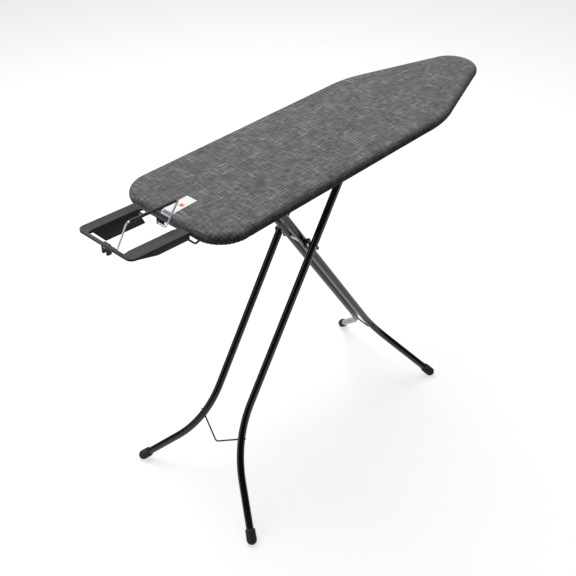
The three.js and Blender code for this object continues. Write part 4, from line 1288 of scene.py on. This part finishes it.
finishPiece(softened("iron_rest", 0.0007, 3), trayPaint, "board", "rest_steel", "iron_rest")
for node in ("bail_clip_inner", "bail_clip_outer"):
    finishPiece(softened(node, 0.0008, 3), blackPlastic, "board", "black_plastic", node)
footY = -bail["foot"] - math.tan(bail["lean"]) * bail["axis"]
topY = -bail["foot"] - math.tan(bail["lean"]) * bail["top"]
bailCorners = [
    atRest(-0.001, 0, bail["axis"]),
    atRest(-bail["inner"], 0, bail["axis"]),
    atRest(-bail["inner"], footY, bail["axis"]),
    atRest(-bail["innerTop"], topY, bail["top"]),
    atRest(-bail["outer"], topY, bail["top"]),
    atRest(-bail["outer"], footY, bail["axis"]),
    atRest(-bail["outer"], 0, bail["axis"]),
    atRest(-rest["length"] + rest["sheet"] + 0.001, 0, bail["axis"]),
]
bailBends = [bail["footBend"]] * 2 + [bail["corner"]] * 2 + [bail["footBend"]] * 2
bailWire = place("bailWire", tubeMesh("bailWire", bentLine(bailCorners, bailBends, 8.0), bail["wire"], 16))
finishPiece(bailWire, zinc, "bail", "zinc_steel", "bail_wire")
sleeveFrom, sleeveTo = -bail["outer"] + bail["corner"] + 0.001, -bail["innerTop"] - bail["corner"] - 0.001
sleeveShape = [
    (bail["sleeveBore"], sleeveFrom), (bail["sleeveEnd"], sleeveFrom), (bail["sleeve"], sleeveFrom + 0.0005),
    (bail["sleeve"], sleeveTo - 0.0005), (bail["sleeveEnd"], sleeveTo), (bail["sleeveBore"], sleeveTo),
]
sleeveAxis = (atRest(1, 0, 0) - atRest(0, 0, 0)).normalized()
sleeveMesh = turnedMesh("bailSleeve", sleeveShape, atRest(0, topY, bail["top"]), sleeveAxis, 28)
finishPiece(place("bailSleeve", sleeveMesh), blackPlastic, "bail", "black_plastic", "bail_sleeve")


# The wire that carries the tray, dipping under the top's edge
def makeSupport(side, sign):
    y = sign * rest["wireY"]
    wireZ = rim["under"] - rest["support"] - 0.0003
    dipZ = top["height"] - top["thickness"] / 2 - top["edgeRadius"] - rest["dip"]
    corners = [
        atBoard(rest["x"] - 0.048, y, rest["z"] - 0.010),
        atBoard(rest["x"] - 0.008, y, rest["z"] - 0.014),
        atBoard(0.009, y, dipZ),
        atBoard(0.030, y, dipZ + 0.005),
        atBoard(0.058, y, wireZ),
        atBoard(0.140, y, wireZ),
    ]
    title = "restSupport" + side.capitalize()
    wire = place(title, tubeMesh(title, bentLine(corners, rest["supportBend"]), rest["support"], 16))
    finishPiece(wire, blackPaint, "board", "black_steel", "rest_support_" + side)
    clamp = "rest_clamp_" + side
    finishPiece(softened(clamp, 0.0004), blackPaint, "board", "black_steel", clamp)


# A cross-slotted screw over its CAD node
def makeScrew(side):
    low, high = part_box("rest_screw_" + side)
    centre = Vector(((low.x + high.x) / 2, (low.y + high.y) / 2, 0))
    head, thread = screwSizes["head"], screwSizes["thread"]
    profile = [
        (0.0, low.z), (0.0028, low.z), (0.0042, low.z + 0.0006), (head, low.z + 0.0014),
        (head, low.z + 0.0023), (thread, low.z + 0.0024), (thread, high.z), (0.0, high.z),
    ]
    title = "restScrew" + side.capitalize()
    screw = place(title, turnedMesh(title, profile, centre, Vector((0, 0, 1)), 28))
    square = ((-1, -1), (1, -1), (1, 1), (-1, 1))
    sides = [(0, 1, 2, 3), (4, 5, 6, 7), (0, 1, 5, 4), (1, 2, 6, 5), (2, 3, 7, 6), (3, 0, 4, 7)]
    slots = []
    for spin in (screwSizes["turn"], screwSizes["turn"] + math.pi / 2):
        along = Vector((math.cos(spin), math.sin(spin), 0)) * screwSizes["slotLong"]
        across = Vector((-math.sin(spin), math.cos(spin), 0)) * screwSizes["slotWide"]
        corners = []
        for height in (-0.001, 0.0010):
            base = centre + Vector((0, 0, low.z)) + Vector((0, 0, height))
            corners += [base + a * along + b * across for a, b in square]
        slots.append(meshFrom("cut", corners, sides))
    drill(screw, *slots)
    finishPiece(screw, zinc, "board", "zinc_steel", "rest_screw_" + side)


for side, sign in (("near", -1), ("far", 1)):
    makeSupport(side, sign)
    makeScrew(side)
print("iron rest made")

# Floor, surroundings, lights and camera
studio = {
    "floor": 0.55,
    "floorGlow": 0.68,
    "floorMirrored": 0.95,
    "floorBounce": 0.30,
    "floorReach": 30,
    "floorDrop": 0.0005,
    "world": 0.05,
}
lights = {
    "keyLight": {"at": (0.3, 1.0, 3.8), "target": (0.1, 0.0, 0.6), "size": (3.4, 3.4), "power": 152.0},
    "stripLight": {"at": (-2.6, 1.2, 1.6), "target": (0.0, 0.0, 0.5), "size": (0.5, 2.6), "power": 9.0},
}
view = {
    "lens": 55.16,
    "sensor": 36.0,
    "at": (-1.60056, -1.41670, 2.09620),
    "right": (0.6825, -0.7307, -0.0153),
    "up": (0.44765, 0.40136, 0.79908),
}


# The floor is bright to the camera, an even glow in reflections and dull to bounced light
def makeFloor():
    reach = studio["floorReach"]
    mesh = bpy.data.meshes.new("floor")
    square = [(-reach, -reach, 0), (reach, -reach, 0), (reach, reach, 0), (-reach, reach, 0)]
    mesh.from_pydata(square, [], [(0, 1, 2, 3)])
    floor = place("floor", mesh)
    paint, tree, shader = shaderTree("floorPaint")
    tree.nodes.remove(shader)
    lit = addNode(tree, "ShaderNodeBsdfDiffuse", {"Color": grey(studio["floor"])}).outputs[0]
    glow = addNode(
        tree, "ShaderNodeEmission", {"Color": grey(1.0), "Strength": studio["floorGlow"]}
    ).outputs[0]
    seen = addNode(tree, "ShaderNodeAddShader", {0: lit, 1: glow}).outputs[0]
    bounced = addNode(tree, "ShaderNodeBsdfDiffuse", {"Color": grey(studio["floorBounce"])}).outputs[0]
    mirrored = addNode(
        tree, "ShaderNodeEmission", {"Color": grey(1.0), "Strength": studio["floorMirrored"]}
    ).outputs[0]
    rays = addNode(tree, "ShaderNodeLightPath")
    unseen = addNode(tree, "ShaderNodeMixShader", {0: rays.outputs["Is Glossy Ray"], 1: bounced, 2: mirrored})
    mixed = addNode(
        tree, "ShaderNodeMixShader", {0: rays.outputs["Is Camera Ray"], 1: unseen.outputs[0], 2: seen}
    )
    tree.links.new(mixed.outputs[0], tree.nodes["Material Output"].inputs["Surface"])
    floor.data.materials.append(paint)
    floor.location.z = -studio["floorDrop"]


# Dim surroundings that light the piece, white where the camera sees them
def makeWorld():
    world = bpy.data.worlds.new("studioWorld")
    world.use_nodes = True
    tree = world.node_tree
    dim = tree.nodes["Background"]
    dim.inputs["Color"].default_value = (1, 1, 1, 1)
    dim.inputs["Strength"].default_value = studio["world"]
    backdrop = addNode(tree, "ShaderNodeBackground", {"Color": grey(1.0), "Strength": 1.0})
    cameraRay = addNode(tree, "ShaderNodeLightPath").outputs["Is Camera Ray"]
    seen = addNode(tree, "ShaderNodeMixShader", {0: cameraRay, 1: dim.outputs[0], 2: backdrop.outputs[0]})
    tree.links.new(seen.outputs[0], tree.nodes["World Output"].inputs["Surface"])
    scene.world = world


def addLight(name, lamp):
    data = bpy.data.lights.new(name, "AREA")
    data.shape = "RECTANGLE"
    data.size, data.size_y = lamp["size"]
    data.energy = lamp["power"]
    light = bpy.data.objects.new(name, data)
    light.location = lamp["at"]
    light.rotation_mode = "QUATERNION"
    light.rotation_quaternion = (Vector(lamp["target"]) - Vector(lamp["at"])).to_track_quat("-Z", "Y")
    scene.collection.objects.link(light)


def addCamera():
    camera = bpy.data.objects.new("camera", bpy.data.cameras.new("camera"))
    camera.data.lens = view["lens"]
    camera.data.sensor_width = view["sensor"]
    right, up = Vector(view["right"]).normalized(), Vector(view["up"])
    up = (up - right * up.dot(right)).normalized()
    turned = Matrix((right, up, right.cross(up))).transposed().to_4x4()
    camera.matrix_world = Matrix.Translation(view["at"]) @ turned
    scene.collection.objects.link(camera)
    scene.camera = camera


makeFloor()
makeWorld()
for name, lamp in lights.items():
    addLight(name, lamp)
addCamera()
scene.view_settings.view_transform = "Standard"
